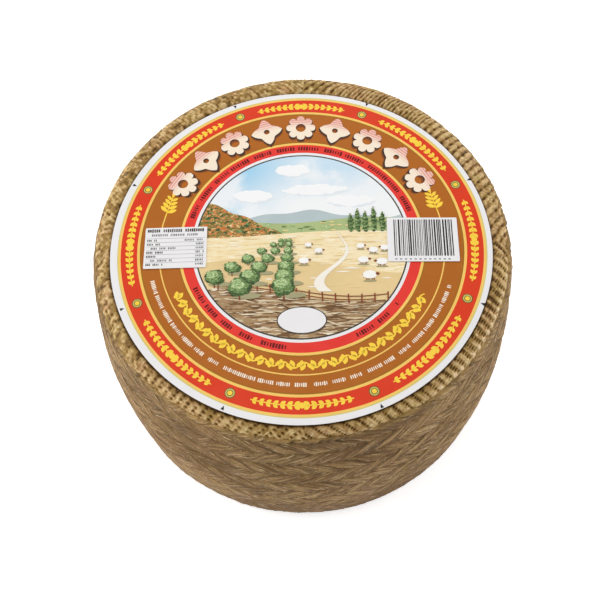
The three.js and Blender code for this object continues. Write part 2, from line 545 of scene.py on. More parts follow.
# The mat's four quarters, each from one V to the next: where it starts, which way its ribs run, their
# pitch, the groove's width and depth, how far it breaks up into pits, the pits' pitch, between which
# angles each rib has a second groove along its middle, up to which angle the pits of neighbouring
# grooves are staggered, and between which angles the grooves widen to ladders of rungs.
matQuarters = [
    {"start": -6, "run": 47, "pitch": 3.7 * mm, "width": 0.7 * mm, "depth": 1.0 * mm,
     "pits": 0.4, "pitPitch": 4.6 * mm, "fine": (44, 74), "lattice": 90, "ladder": (90, 91)},
    {"start": 87, "run": 131, "pitch": 4.3 * mm, "width": 0.5 * mm, "depth": 0.6 * mm,
     "pits": 0.5, "pitPitch": 1.9 * mm, "fine": (86, 182), "lattice": 182, "ladder": (182, 183)},
    {"start": 181, "run": 220, "pitch": 3.6 * mm, "width": 0.8 * mm, "depth": 0.7 * mm,
     "pits": 0.9, "pitPitch": 2.2 * mm, "fine": (181, 181), "lattice": 270, "ladder": (270, 271)},
    {"start": 269, "run": 325, "pitch": 4.1 * mm, "width": 0.65 * mm, "depth": 0.85 * mm,
     "pits": 0.66, "pitPitch": 1.35 * mm, "fine": (269, 269), "lattice": 288, "ladder": (294, 316)},
]


def ribMarks(around, reach, quarter, number):
    # groove share and place along and across straight ribs; reach is the unrolled radius
    turn = around - math.radians(quarter["run"])
    across = reach * np.sin(turn)
    along = reach * np.cos(turn)
    wander = valueNoise(around, reach / matMarks["wanderSize"], 60, 30 + number) - 0.5
    across = across + matMarks["wander"] * wander
    rib = across / quarter["pitch"]
    degreesRound = np.mod(np.degrees(around) - quarter["start"], 360) + quarter["start"]
    first, last = quarter["fine"]
    fine = between(degreesRound, first - 4, first + 4, last - 4, last + 4)
    ladder = smoothStep(degreesRound, *quarter["ladder"])
    width = quarter["width"] * (1 + 0.75 * ladder) * (1 - 0.3 * fine)
    lattice = 0.5 * (degreesRound < quarter["lattice"])
    groove = np.zeros_like(rib)
    for shift, strength, stagger in ((0.0, 1.0, 0.0), (0.5, 0.8 * fine, 0.5)):
        line = np.floor(rib - shift + 0.5)
        off = (rib - shift - line) * quarter["pitch"]
        beads = along / quarter["pitPitch"] + stagger + lattice * np.mod(line, 2)
        beads = beads + 0.3 * hashed(line, number, 3)
        pit = (0.5 + 0.5 * np.cos(2 * np.pi * beads)) ** 1.6
        power = strength * (0.85 + 0.3 * hashed(line + 7 * np.floor(beads), number, 4) + 0.15 * ladder)
        share = 1 - quarter["pits"] + quarter["pits"] * pit
        groove = np.maximum(groove, power * share * np.exp(-(np.abs(off / width) ** (2 + 1.2 * ladder))))
    crown = (rib - np.floor(rib + 0.5)) * 2
    return groove, 1 - crown ** 2, along, across


def matMarksAt(around, reach):
    # groove share, press depth and fibre place of the mat's print
    press = np.zeros_like(reach)
    groove = np.zeros_like(reach)
    fibre = np.zeros(reach.shape + (3,))
    for number, quarter in enumerate(matQuarters):
        inside = np.mod(around - math.radians(quarter["start"]), 2 * np.pi)
        width = np.mod(math.radians(matQuarters[(number + 1) % 4]["start"] - quarter["start"]), 2 * np.pi)
        share, crown, lengthwise, across = ribMarks(around, reach, quarter, number)
        here = inside < width
        groove = np.where(here, share, groove)
        press = np.where(here, quarter["depth"] * share + matMarks["crown"] * (1 - crown), press)
        fibre[here] = np.stack([lengthwise, across, np.full_like(across, number * 0.1)], axis=-1)[here]
    return groove, press, fibre


def matClarity(around, along):
    # the print is worn and blotchy on the left, and clear elsewhere
    worn = between(turnOf(around), *matMarks["wornTurns"])
    blotches = valueNoise(around, along / matMarks["blotchSize"], 130, 17)
    return 1 - worn * (0.5 + 0.5 * smoothStep(blotches, 0.3, 0.7)), worn, blotches


def beyondPaper(around, reach):
    # how far each place lies outside the round label's edge
    x = reach * np.cos(around) - label["centreX"] - label["cutX"]
    y = reach * np.sin(around) - label["centreY"] - label["cutY"]
    return np.hypot(x, y) - label["radius"]


def swellAt(around, part):
    # how far one part of the wheel stands out beyond the plain outline
    height, heading, start, full = wheel[part]
    return height * smoothStep(towards(around, heading), start, full)


def bell(distance, reach):
    # 1 at no distance, falling off smoothly over a reach
    return np.exp(-((distance / reach) ** 2))


def matPressedRim():
    marks = matMarks
    around = aroundWheel(marks["columns"])
    rounding = roundingAt(around)
    flatLength = wheel["edgeRadius"] - rounding - marks["startRadius"]
    seamDrop = seamDropAt(around)
    lastBend = np.arccos(np.clip(1 - seamDrop / rounding, 0, 1))
    total = flatLength + rounding * lastBend + np.maximum(0, seamDrop - rounding)
    along = np.linspace(0, 1, marks["rows"])[:, None] * total
    around = np.broadcast_to(around, along.shape)
    bend = np.clip((along - flatLength) / rounding, 0, math.pi / 2)
    straight = np.maximum(0, along - flatLength - rounding * math.pi / 2)
    level = top["height"] - rounding * (1 - np.cos(bend)) - straight
    reach = marks["startRadius"] + along
    outline = np.minimum(reach, sideOutline(around, level))

    groove, press, fibre = matMarksAt(around, reach)
    knots = valueNoise(around, along / marks["knotSize"], 420, 12)
    specks = valueNoise(around, along / marks["speckSize"], 700, 15)
    lumps = valueNoise(around, along / marks["lumpSize"], 90, 13)
    clarity, worn, blotches = matClarity(around, along)
    strength = (0.85 + 0.3 * valueNoise(around, along / marks["strengthSize"], 40, 14)) * clarity
    # on the right the pits end a little inside the print's edge, and there the ribs swell into knobs
    right = between(turnOf(around), *marks["knobTurns"])
    fromEdge = total - along
    outer = 1 - smoothStep(fromEdge, 0.6 * mm, 2.2 * mm)
    knobs = bell(fromEdge - marks["knobInset"], marks["knobReach"]) * right
    knobs = knobs * (1 - np.clip(1.6 * groove, 0, 1)) * smoothStep(knots, 0.05, 0.4)
    strength = strength * (1 - 0.6 * outer * right - 0.3 * smoothStep(-fromEdge, -0.8 * mm, 0))
    # the rind dips under the label's edge and is darkened there as painted shade, and outside the label at
    # the front it carries a painted shadow of the label's edge
    beyond = beyondPaper(around, reach)
    dent = bell(beyond, marks["dentReach"])
    paintedLabelShadow = bell(np.maximum(0, beyond), marks["shadowReach"]) * smoothStep(-np.sin(around), 0.1, 0.6)
    swell = swellAt(around, "backSwell") + 0.6 * swellAt(around, "frontSwell")
    swell = swell * smoothStep(beyond, 0.4 * mm, 3 * mm)
    press = press * strength + marks["knotDepth"] * (knots + 0.5 * specks) + marks["lumpDepth"] * lumps
    press = (press - marks["knobHeight"] * knobs) * smoothStep(along, 0, 3 * mm)
    press = press + marks["paperDent"] * dent - swell
    radius = outline - press * np.sin(bend)
    level = level - press * np.cos(bend)
    tone = marks["tone"]
    # the hollow share darkens the grooves as painted shade; the knots, specks and lumps are the rind's own
    # uneven tone
    hollow = 0.12 + groove * strength + tone["knot"] * (knots - 0.5) + tone["speck"] * (specks - 0.5)
    hollow = hollow + tone["lump"] * (lumps - 0.5)
    wornTone = tone["wornBlotch"] * (blotches - 0.55) + tone["wornKnot"] * (knots - 0.5) + tone["worn"]
    # the dent and the band outside the label's front edge are darkened as painted shadow of the label's edge
    hollow = hollow + worn * wornTone + tone["dent"] * dent + tone["paintedLabelShadow"] * paintedLabelShadow
    # below 0 on the knobs, which gives them the pale knob colour, a painted highlight
    hollow = np.clip(hollow, 0, 1) * (1 - np.clip(1.2 * knobs, 0, 1)) - 0.5 * knobs

    # tuck the rim's lower edge in behind the belt's
    radius, level, hollow, fibre, around, along = (
        addRows(table, 0, 1) for table in (radius, level, hollow, fibre, around, along))
    radius[-1] -= wheel["seamDepth"]
    level[-1] += marks["tuckRise"]
    gridPiece("mat_pressed_rim", around, radius, level, hollow, fibre, rimRind, top["height"] - along)


baseMarks = {
    "columns": 720, "rows": 46, "outerRadius": 89.6 * mm, "innerRadius": 3 * mm, "thickness": 1.0 * mm,
    "clearance": 0.05 * mm, "lumpDepth": 0.3 * mm, "edgeInset": 1.2 * mm,
}


def matPressedBase():
    # the underside carries the same mat print, seen from below
    marks = baseMarks
    around = aroundWheel(marks["columns"])
    reach = np.linspace(marks["outerRadius"], marks["innerRadius"], marks["rows"])[:, None]
    around, reach = np.broadcast_arrays(around, reach)
    groove, press, fibre = matMarksAt(around, reach)
    lumps = valueNoise(around, reach / matMarks["lumpSize"], 60, 16)
    fade = smoothStep(reach, marks["innerRadius"], 12 * mm)
    rise = (press * fade + marks["lumpDepth"] * lumps) * 0.5
    level = marks["clearance"] + rise * smoothStep(-reach, -marks["outerRadius"], -86 * mm)
    # the grooves darken as painted shade, and the lumps vary the rind's tone
    hollow = np.clip(0.15 + groove * fade + 0.3 * (lumps - 0.5), 0, 1)
    radius, level, hollow, fibre, around = (
        addRows(table, 2, 0) for table in (reach, level, hollow, fibre, around))
    radius[0] -= marks["edgeInset"]
    level[:2] = marks["thickness"]
    gridPiece("mat_pressed_base", around, radius, level, hollow, fibre, rimRind, -radius)


beltMarks = {
    "columns": 1140,
    "rowHeight": 10.3 * mm,
    "strands": 50,
    "strandAngle": math.radians(37),
    "fibres": 3.0,                   # in a strand, and up to one more
    "fibreWidth": 1.5 * mm,
    "rowDepth": 0.5 * mm,
    "strandDepth": 0.45 * mm,
    "shingle": 0.45 * mm,            # how far one edge of a strand lies below the other
    "liftDepth": 0.2 * mm,           # how far strands differ in height
    "fibreDepth": 0.6 * mm,
    "unevenDepth": 0.5 * mm,
    "grainDepth": 0.12 * mm,
    "beltDepth": -0.3 * mm,          # how far the belt's print lies inside the plain side
    "jointAngle": math.radians(98),  # where the belt's two ends meet
    "jointStep": 0.45,
    "sway": 0.3,                     # rows that the belt rises by towards the right
    "swayTurn": math.radians(490),
    "topHeight": 94.4 * mm,
    "split": 48 * mm,                # height where the upper part meets the lower one
    "fade": 0.5,                     # how much weaker the print is in the lower rows
    "fadeRows": (3.0, 8.0),
    "darkTurns": (255, 272, 298, 310),  # the painted shade on the front of the upper rows, in degrees round the wheel
    "paleTurns": (298, 308),            # where their pale right flank starts
    "footHeading": 285,
    "seamLine": 0.9 * mm,            # from the rim's edge down to the dark line below it
    "seamLineReach": 1.0 * mm,
    # shares of a row or a strand by which the lines stray
    "ripple": 0.05, "rowWander": 0.2, "scallop": 0.05, "bow": 0.05, "strandShift": 0.37,
    "strandWander": 0.16, "fan": 0.6, "rowValley": 0.12, "strandValley": 0.08,
    "unevenSize": 26 * mm, "grainSize": 2.4 * mm,
    # how much each mark adds to the hollow share, which darkens the rind
    "tone": {"row": 0.25, "strand": 0.22, "shingle": 0.12, "lift": 0.12, "stroke": 0.54, "grain": 0.2,
             "uneven": 0.2, "front": 0.42, "right": 0.16, "seam": 0.2, "seamRight": 0.5, "foot": 0.3,
             "baseEdge": 0.5},
}


def sideOutline(around, height):
    # radius of the plain side at each place
    foot = wheel["baseRounding"]
    rounding = roundingAt(around)
    shoulder = top["height"] - rounding
    down = np.clip((shoulder - height) / (shoulder - foot), 0, 1)
    radius = wheel["edgeRadius"] + wheel["bulge"] * np.sin(np.pi * down)
    over = np.clip(height - shoulder, 0, rounding)
    radius = radius - (rounding - np.sqrt(rounding ** 2 - over ** 2))
    under = np.clip(foot - height, 0, foot)
    return radius - (foot - np.sqrt(foot ** 2 - under ** 2))


def plaitMarks(around, height):
    # press depth, hollow share and fibre place for the plaited belt's print
    marks = beltMarks
    fromJoint = np.mod(around - marks["jointAngle"], 2 * np.pi) / (2 * np.pi)
    drop = (marks["topHeight"] - height) / marks["rowHeight"]
    wander = marks["rowWander"] * (valueNoise(around, drop * 0.7, 34, 21) - 0.5)
    wave = marks["ripple"] * np.sin(5 * around + 1) + wander
    wave = wave + marks["sway"] * (1 - np.cos(2 * around - marks["swayTurn"]))
    scallop = marks["scallop"] * np.cos(marks["strands"] * around)
    row = drop + wave + marks["jointStep"] * fromJoint + scallop
    rowNumber = np.floor(row)
    inRow = row - rowNumber
    direction = np.where(np.mod(rowNumber, 2) == 0, -1.0, 1.0)
    strandPitch = 2 * np.pi * wheel["edgeRadius"] / marks["strands"]
    lean = marks["rowHeight"] / math.tan(marks["strandAngle"]) / strandPitch
    bow = marks["bow"] * np.sin(np.pi * inRow)
    strand = marks["strands"] * around / (2 * np.pi) + direction * (lean * (inRow - 0.5) + bow)
    wander = marks["strandWander"] * (valueNoise(around, row * 0.8, 40, 22) - 0.5)
    strand = strand + marks["strandShift"] * rowNumber + wander
    strandNumber = np.floor(strand)
    inStrand = strand - strandNumber
    own = np.mod(strandNumber, marks["strands"])
    lift = hashed(own, rowNumber, 5)
    fan = (hashed(own, rowNumber, 6) - 0.5) * marks["fan"]
    fibreNumber = inStrand * (marks["fibres"] + np.floor(2 * lift)) + fan * (inRow - 0.5)
    fibreOwn = hashed(np.floor(fibreNumber), own + 50 * rowNumber, 9)
    valley = 1 - np.abs(np.sin(np.pi * fibreNumber)) ** 0.7

    rowValley = bell(np.minimum(inRow, 1 - inRow), marks["rowValley"])
    rowValley = rowValley * (0.35 + 0.65 * hashed(own, rowNumber, 8))
    strandValley = bell(np.minimum(inStrand, 1 - inStrand), marks["strandValley"])
    strandValley = strandValley * (0.3 + 0.7 * hashed(own, rowNumber, 7))
    fade = 1 - marks["fade"] * smoothStep(drop, *marks["fadeRows"])
    patchy = 0.55 + 0.75 * valueNoise(around, row * 1.3, 48, 23)
    strokes = valley * patchy * (0.65 + 0.5 * fibreOwn)
    uneven = valueNoise(around, height / marks["unevenSize"], 24, 24)
    grain = valueNoise(around, height / marks["grainSize"], 260, 25)
    shingle = np.where(direction > 0, 1 - inStrand, inStrand)
    depth = (marks["rowDepth"] * rowValley + marks["strandDepth"] * strandValley + marks["shingle"] * shingle
             + marks["liftDepth"] * lift + marks["fibreDepth"] * strokes)
    depth = depth * fade + marks["unevenDepth"] * uneven + marks["grainDepth"] * grain + marks["beltDepth"]
    tone = marks["tone"]
    # the row and strand valleys, the low edge of each strand and the lines between fibres are darkened as
    # painted shade; the strands' lift, the grain and the unevenness are the rind's own tone
    valleys = tone["row"] * rowValley + tone["strand"] * strandValley + tone["shingle"] * shingle
    hollow = 0.1 + valleys * fade + tone["lift"] * (lift - 0.5) + tone["stroke"] * strokes * fade
    hollow = hollow + tone["grain"] * (grain - 0.5) + tone["uneven"] * (uneven - 0.5) - 0.05
    # dark line below the rim; dark front of the upper rows, painted shade below the rim's edge, and paler
    # right flanks; dark foot at the front and dark base edge, painted shade near the floor
    fromSeam = seamHeightAt(around) - height
    front = between(turnOf(around), *marks["darkTurns"])
    right = smoothStep(turnOf(around), *marks["paleTurns"])
    upper = 1 - smoothStep(fromSeam, 4 * mm, 9 * mm)
    hollow = hollow + upper * (tone["front"] * front - 0.08)
    hollow = hollow - tone["right"] * right * (1 - smoothStep(fromSeam, 9 * mm, 16 * mm))
    seamTone = tone["seam"] + tone["seamRight"] * right
    hollow = hollow + seamTone * bell(fromSeam - marks["seamLine"], marks["seamLineReach"])
    foot = smoothStep(-height, -34 * mm, -6 * mm)
    foot = foot * smoothStep(towards(around, marks["footHeading"]), 0.6, 0.9)
    hollow = hollow + tone["foot"] * foot + tone["baseEdge"] * smoothStep(-height, -4.5 * mm, -1 * mm)
    lengthwise = (around * wheel["edgeRadius"] * math.cos(marks["strandAngle"])
                  + direction * height * math.sin(marks["strandAngle"]))
    apart = (own * 3 + rowNumber * 11) * 5 * mm        # keeps each strand's fibres its own
    fibre = np.stack([lengthwise, fibreNumber * marks["fibreWidth"], apart], axis=-1)
    return depth, np.clip(hollow, 0, 1), fibre


def beltPart(name, shares, upperEdge, lowerEdge, tuckUpper, tuckLower):
    # one part of the side: rows of points between two heights, with tucked-in edges
    around = aroundWheel(beltMarks["columns"])
    height = upperEdge(around) + (lowerEdge(around) - upperEdge(around)) * np.array(shares)[:, None]
    around = np.broadcast_to(around, height.shape)
    depth, hollow, fibre = plaitMarks(around, height)
    swell = swellAt(around, "frontSwell") * smoothStep(height, -2 * mm, 1 * mm)
    depth = depth * smoothStep(height, 0.0, 3 * mm) - swell
    radius, level, hollow, fibre, around = (
        addRows(table, len(tuckUpper), len(tuckLower))
        for table in (sideOutline(around, height) - depth, height, hollow, fibre, around))
    for i, (inset, drop) in enumerate(tuckUpper):
        radius[i] -= inset
        level[i] -= drop
    for i, (inset, rise) in enumerate(tuckLower):
        radius[i - len(tuckLower)] -= inset
        level[i - len(tuckLower)] += rise
    gridPiece(name, around, radius, level, hollow, fibre, sideRind)


def seamHeightAt(around):
    return top["height"] - seamDropAt(around) - wheel["seamGap"]


def evenEdge(height):
    return lambda around: np.full_like(around, height)


def cheeseWheel():
    matPressedRim()
    split = beltMarks["split"]
    inset = wheel["seamDepth"]
    beltPart("plaited_side_upper", np.linspace(0, 1, 80), seamHeightAt, evenEdge(split + 0.02 * mm),
             [(inset, 0.3 * mm), (0.25 * mm, 0.05 * mm)], [(inset, 0.0)])
    foot = wheel["baseRounding"]
    down = np.concatenate([np.linspace(0, 1 - foot / split, 74),
                           1 - foot / split * (1 - np.sin(np.linspace(0, math.pi / 2, 8)[1:]))])
    beltPart("plaited_side_lower", down, evenEdge(split), evenEdge(0.0), [(inset, 0.0)],
             [(0.4 * mm, 1.3 * mm)])
    matPressedBase()


# Paper

paper = {
    "gap": 0.06 * mm,
    "thickness": 0.2 * mm,
    "inkStep": 0.022 * mm,       # one layer of print
    "stickerThickness": 0.12 * mm,
    "freeEdge": 6 * mm,          # the outer part of the label that isn't stuck down
    "edgeWave": 0.10 * mm,
    "edgeDip": 0.05 * mm,
}
inkLow, inkHigh = -0.5 * paper["inkStep"], 0.5 * paper["inkStep"]    # one printed layer about its own middle
labelLow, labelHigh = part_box("round_label")
label = {
    "radius": (labelHigh.x - labelLow.x) / 2,
    "centreX": (labelHigh.x + labelLow.x) / 2,
    "centreY": (labelHigh.y + labelLow.y) / 2 - 0.35 * mm,
    "cutX": -0.45 * mm,             # the paper is cut a little off the middle of the print
    "cutY": -0.1 * mm,
    "printRadius": 82 * mm,
    "flatRadius": 78 * mm,
    "turn": math.radians(-1.7),
    "sides": 360,
}
# ink bands of the label from the middle outwards: outer radius and ink
labelBands = [
    (46.6 * mm, "sky"),
    (47.25 * mm, "darkLine"),
    (48.6 * mm, "white"),
    (53.2 * mm, "innerRed"),
    (54.4 * mm, "yellow"),
    (55.0 * mm, "ochre"),
    (70.9 * mm, "brown"),
    (71.5 * mm, "ochre"),
    (72.7 * mm, "yellow"),
    (79.95 * mm, "red"),
    (81.0 * mm, "yellow"),
    (81.5 * mm, "fringe"),
    (83.9 * mm, "white"),
]


def layOnSlope(mesh, lift, centreX=0.0, centreY=0.0, turn=0.0):
    # turns a flat print about its own middle, moves it to its place and lays it on the sloping top
    mesh.transform(Matrix.Translation((centreX, centreY, lift)) @ Matrix.Rotation(turn, 4, "Z"))
    for vertex in mesh.vertices:
        vertex.co.z += top["height"] + top["riseX"] * vertex.co.x + top["riseY"] * vertex.co.y
    mesh.update()


def paperSag(radius, angle):
    # the free edge of the paper is not quite flat
    free = max(0.0, (radius - label["flatRadius"]) / paper["freeEdge"])
    wave = math.sin(3 * angle + 0.4) + 0.6 * math.sin(7 * angle + 2)
    return paper["edgeWave"] * free * free * wave - paper["edgeDip"] * free


def onLabel(mesh, layer):
    for vertex in mesh.vertices:
        vertex.co.z += paperSag(math.hypot(vertex.co.x, vertex.co.y), math.atan2(vertex.co.y, vertex.co.x))
    lift = paper["gap"] + paper["thickness"] + (layer - 0.5) * paper["inkStep"]
    layOnSlope(mesh, lift, label["centreX"], label["centreY"], label["turn"])


def polar(radius, angle):
    return (radius * math.cos(angle), radius * math.sin(angle))


def circlePoints(radius, sides, centre=(0, 0)):
    return [(centre[0] + radius * math.cos(2 * math.pi * i / sides),
             centre[1] + radius * math.sin(2 * math.pi * i / sides)) for i in range(sides)]


def turnedPoints(points, angle, x=0.0, y=0.0):
    cosine, sine = math.cos(angle), math.sin(angle)
    return [(x + a * cosine - b * sine, y + a * sine + b * cosine) for a, b in points]


def addPrism(form, outline, low, high):
    # closed thin slab from a flat outline that runs anticlockwise
    lower = [form.verts.new((x, y, low)) for x, y in outline]
    upper = [form.verts.new((x, y, high)) for x, y in outline]
    form.faces.new(upper)
    form.faces.new(lower[::-1])
    for i in range(len(outline)):
        j = (i + 1) % len(outline)
        form.faces.new((lower[i], lower[j], upper[j], upper[i]))


def addBand(form, first, second, low, high, isRing=False):
    # closed flat band between two lines with the same number of points, or a ring between two outlines
    rows = [[form.verts.new((x, y, z)) for x, y in line]
            for line, z in ((first, low), (first, high), (second, high), (second, low))]
    count = len(first)
    for a, b in ((0, 1), (1, 2), (2, 3), (3, 0)):
        for i in range(count if isRing else count - 1):
            j = (i + 1) % count
            form.faces.new((rows[a][i], rows[a][j], rows[b][j], rows[b][i]))
    if not isRing:
        form.faces.new([row[0] for row in rows])
        form.faces.new([row[-1] for row in rows][::-1])


def arcBand(form, radiusAt, first, last, width, low, high, steps):
    # closed flat band along an arc
    angles = [first + (last - first) * i / steps for i in range(steps + 1)]
    outer, inner = ([polar(radiusAt(a) + side * width, a) for a in angles] for side in (0.5, -0.5))
    addBand(form, outer, inner, low, high)


def addBar(form, x, y, width, depth, low, high, turn=0.0):
    corners = [(side * width / 2, end * depth / 2) for side, end in ((-1, -1), (1, -1), (1, 1), (-1, 1))]
    addPrism(form, turnedPoints(corners, turn, x, y), low, high)


def meshFromForm(name, form):
    mesh = bpy.data.meshes.new(name)
    form.to_mesh(mesh)
    form.free()
    return mesh


def addToLabel(name, mesh, layer):
    onLabel(mesh, layer)
    finishPiece(linkMesh(name, mesh), "round_label")


def printOnLabel(name, form, ink, layer):
    mesh = meshFromForm(name, form)
    mesh.materials.append(inks[ink])
    addToLabel(name, mesh, layer)


def roundLabel():
    # one closed sheet; each band of its upper face has its own ink
    form = bmesh.new()
    sides = label["sides"]
    edges = [radius for radius, ink in labelBands] + [label["radius"]]
    high = paper["thickness"]

    def loop(radius, z):
        # outside the print the sheet follows its own cut edge
        shiftX, shiftY = (label["cutX"], label["cutY"]) if radius > label["printRadius"] else (0, 0)
        points = []
        for i in range(sides):
            angle = 2 * math.pi * i / sides
            x, y = polar(radius, angle)
            points.append(form.verts.new((x + shiftX, y + shiftY, z + paperSag(radius, angle))))
        return points

    loops = [loop(radius, high) for radius in edges]
    loops += [loop(radius, 0.0) for radius in (label["radius"], label["flatRadius"])]
    names = [ink for radius, ink in labelBands] + ["white", "white", "white"]
    used = sorted(set(names))
    middle = form.verts.new((0, 0, high))
    under = form.verts.new((0, 0, 0))
    for i in range(sides):
        j = (i + 1) % sides
        form.faces.new((middle, loops[0][i], loops[0][j])).material_index = used.index(names[0])
        form.faces.new((under, loops[-1][j], loops[-1][i])).material_index = used.index("white")
        for ring in range(len(loops) - 1):
            face = form.faces.new((loops[ring][i], loops[ring + 1][i], loops[ring + 1][j], loops[ring][j]))
            face.material_index = used.index(names[ring + 1])
    mesh = meshFromForm("label_sheet", form)
    for ink in used:
        mesh.materials.append(inks[ink])
    layOnSlope(mesh, paper["gap"], label["centreX"], label["centreY"], label["turn"])
    finishPiece(linkMesh("label_sheet", mesh), "round_label")


# Geometry Nodes for the print that repeats round the label

class TreeMaker:
    # a new tree with named inputs, and short calls that add and join its nodes
    def __init__(self, name, sockets):
        self.tree = bpy.data.node_groups.new(name, "GeometryNodeTree")
        face = self.tree.interface
        face.new_socket("Geometry", in_out="INPUT", socket_type="NodeSocketGeometry")
        for title, kind in sockets:
            face.new_socket(title, in_out="INPUT", socket_type="NodeSocket" + kind)
        face.new_socket("Geometry", in_out="OUTPUT", socket_type="NodeSocketGeometry")
        self.give = self.tree.nodes.new("NodeGroupInput").outputs
        self.index = self.node("GeometryNodeInputIndex").outputs[0]

    def node(self, kind, joins=(), **settings):
        made = self.tree.nodes.new(kind)
        for key, value in settings.items():
            setattr(made, key, value)
        for target, value in joins:
            socket = made.inputs[target]
            if isinstance(value, bpy.types.NodeSocket):
                self.tree.links.new(value, socket)
            else:
                socket.default_value = value
        return made

    def math(self, operation, first, second=0.0):
        return self.node("ShaderNodeMath", ((0, first), (1, second)), operation=operation).outputs[0]

    def vector(self, x=0.0, y=0.0, z=0.0):
        return self.node("ShaderNodeCombineXYZ", ((0, x), (1, y), (2, z))).outputs[0]

    def random(self, low, high, seed, *more):
        joins = ((2, low), (3, high), ("Seed", seed), *more)
        return self.node("FunctionNodeRandomValue", joins, data_type="FLOAT").outputs[1]

    def stepAngle(self):
        # each point's angle, at equal steps from the first
        steps = self.math("MULTIPLY", self.index, self.give["Step Angle"])
        return self.math("ADD", self.give["First Angle"], steps)

    def placeRound(self, angle):
        radius = self.give["Radius"]
        return self.vector(self.math("MULTIPLY", radius, self.math("COSINE", angle)),
                           self.math("MULTIPLY", radius, self.math("SINE", angle)))

    def points(self, place):
        # as many points as the input Count says, each at its place
        line = self.node("GeometryNodeMeshLine", (("Count", self.give["Count"]), ("Offset", (0, 0, 0))))
        joins = (("Geometry", line.outputs[0]), ("Position", place))
        return self.node("GeometryNodeSetPosition", joins).outputs[0]

    def bar(self, width):
        size = self.vector(width, self.give["Height"], self.give["Thickness"])
        return self.node("GeometryNodeMeshCube", (("Size", size),)).outputs["Mesh"]

    def finish(self, points, shape, *joins):
        # copies of a shape on the points, made real and painted with the input ink
        joins = (("Points", points), ("Instance", shape), *joins)
        copies = self.node("GeometryNodeInstanceOnPoints", joins).outputs[0]
        real = self.node("GeometryNodeRealizeInstances", ((0, copies),)).outputs[0]
        painted = self.node("GeometryNodeSetMaterial", (("Geometry", real), ("Material", self.give["Ink"])))
        self.tree.links.new(painted.outputs[0], self.tree.nodes.new("NodeGroupOutput").inputs[0])
        return self.tree


def roundTree():
    # copies of a motif at equal steps round the middle, each turned with the circle
    make = TreeMaker("motifsRoundLabel", (
        ("Motif", "Object"), ("Count", "Int"), ("Radius", "Float"), ("First Angle", "Float"),
        ("Step Angle", "Float"), ("Turn", "Float"), ("Ink", "Material")))
    angle = make.stepAngle()
    upright = make.math("ADD", make.math("SUBTRACT", angle, math.pi / 2), make.give["Turn"])
    motif = make.node("GeometryNodeObjectInfo", (("Object", make.give["Motif"]),)).outputs["Geometry"]
    return make.finish(make.points(make.placeRound(angle)), motif, ("Rotation", make.vector(z=upright)))


def wordsTree():
    # a line of tiny upright bars round an arc, in groups with gaps, like print too small to read
    make = TreeMaker("smallPrint", (
        ("Count", "Int"), ("Radius", "Float"), ("First Angle", "Float"), ("Step Angle", "Float"),
        ("Width", "Float"), ("Height", "Float"), ("Thickness", "Float"), ("Group", "Float"),
        ("Seed", "Int"), ("Ink", "Material")))
    give = make.give
    placed = make.points(make.placeRound(make.stepAngle()))
    inGroups = make.math("DIVIDE", make.index, give["Group"])
    wordLength = make.random(0.55, 0.92, give["Seed"], ("ID", make.math("FLOOR", inGroups)))
    isGap = make.math("GREATER_THAN", make.math("FRACT", inGroups), wordLength)
    kept = make.node("GeometryNodeDeleteGeometry", (("Geometry", placed), ("Selection", isGap)),
                     domain="POINT")
    scale = make.vector(make.random(0.7, 1.4, give["Seed"]), make.random(0.68, 1.0, give["Seed"]), 1.0)
    position = make.node("GeometryNodeInputPosition").outputs[0]
    parts = make.node("ShaderNodeSeparateXYZ", ((0, position),)).outputs
    heading = make.math("ARCTAN2", parts[1], parts[0])
    turned = make.vector(z=make.math("SUBTRACT", heading, math.pi / 2))
    return make.finish(kept.outputs[0], make.bar(give["Width"]), ("Rotation", turned), ("Scale", scale))


def barsTree():
    # upright bars of random width with random gaps along X, from a fixed seed
    make = TreeMaker("barRow", (
        ("Count", "Int"), ("Module", "Float"), ("Height", "Float"), ("Thickness", "Float"),
        ("Seed", "Int"), ("Ink", "Material")))
    give = make.give
    wide = make.math("CEIL", make.random(0.1, 2.6, give["Seed"]))
    space = make.math("CEIL", make.random(0.1, 2.4, make.math("ADD", give["Seed"], 1.0)))
    step = make.math("ADD", wide, space)
    before = make.node("GeometryNodeAccumulateField", ((0, step),), data_type="FLOAT").outputs["Trailing"]
    middle = make.math("ADD", before, make.math("MULTIPLY", wide, 0.5))
    placed = make.points(make.vector(make.math("MULTIPLY", middle, give["Module"])))
    return make.finish(placed, make.bar(give["Module"]), ("Scale", make.vector(wide, 1.0, 1.0)))


trees = {"round": roundTree(), "words": wordsTree(), "bars": barsTree()}


def grown(name, treeName, values):
    # runs a tree once and gives back the plain mesh that it makes
    tree = trees[treeName]
    base = linkMesh(name + "_base", bpy.data.meshes.new(name + "_base"))
    modifier = base.modifiers.new("nodes", "NODES")
    modifier.node_group = tree
    for item in tree.interface.items_tree:
        if item.item_type == "SOCKET" and item.in_out == "INPUT" and item.name in values:
            modifier[item.identifier] = values[item.name]
    scene = bpy.context.evaluated_depsgraph_get()
    scene.update()
    mesh = bpy.data.meshes.new_from_object(base.evaluated_get(scene))
    mesh.name = name
    bpy.data.objects.remove(base)
    return mesh


def motifFrom(form):
    return linkMesh("motif", meshFromForm("motif", form))


def printRound(name, motif, ink, layer, count, radius, first, step, turn=0.0):
    # prints copies of a motif round the label, and clears the motif away
    mesh = grown(name, "round", {
        "Motif": motif, "Count": count, "Radius": radius, "First Angle": first,
        "Step Angle": step, "Turn": turn, "Ink": inks[ink]})
    bpy.data.objects.remove(motif)
    addToLabel(name, mesh, layer)


# Motifs

def leafOutline(length, width, points=6):
    # pointed leaf from the origin along +Y
    right = [(width / 2 * math.sin(math.pi * i / points) ** 0.8, length * i / points)
             for i in range(1, points)]
    left = [(-x, y) for x, y in reversed(right)]
    return [(0, 0)] + right + [(0, length)] + left


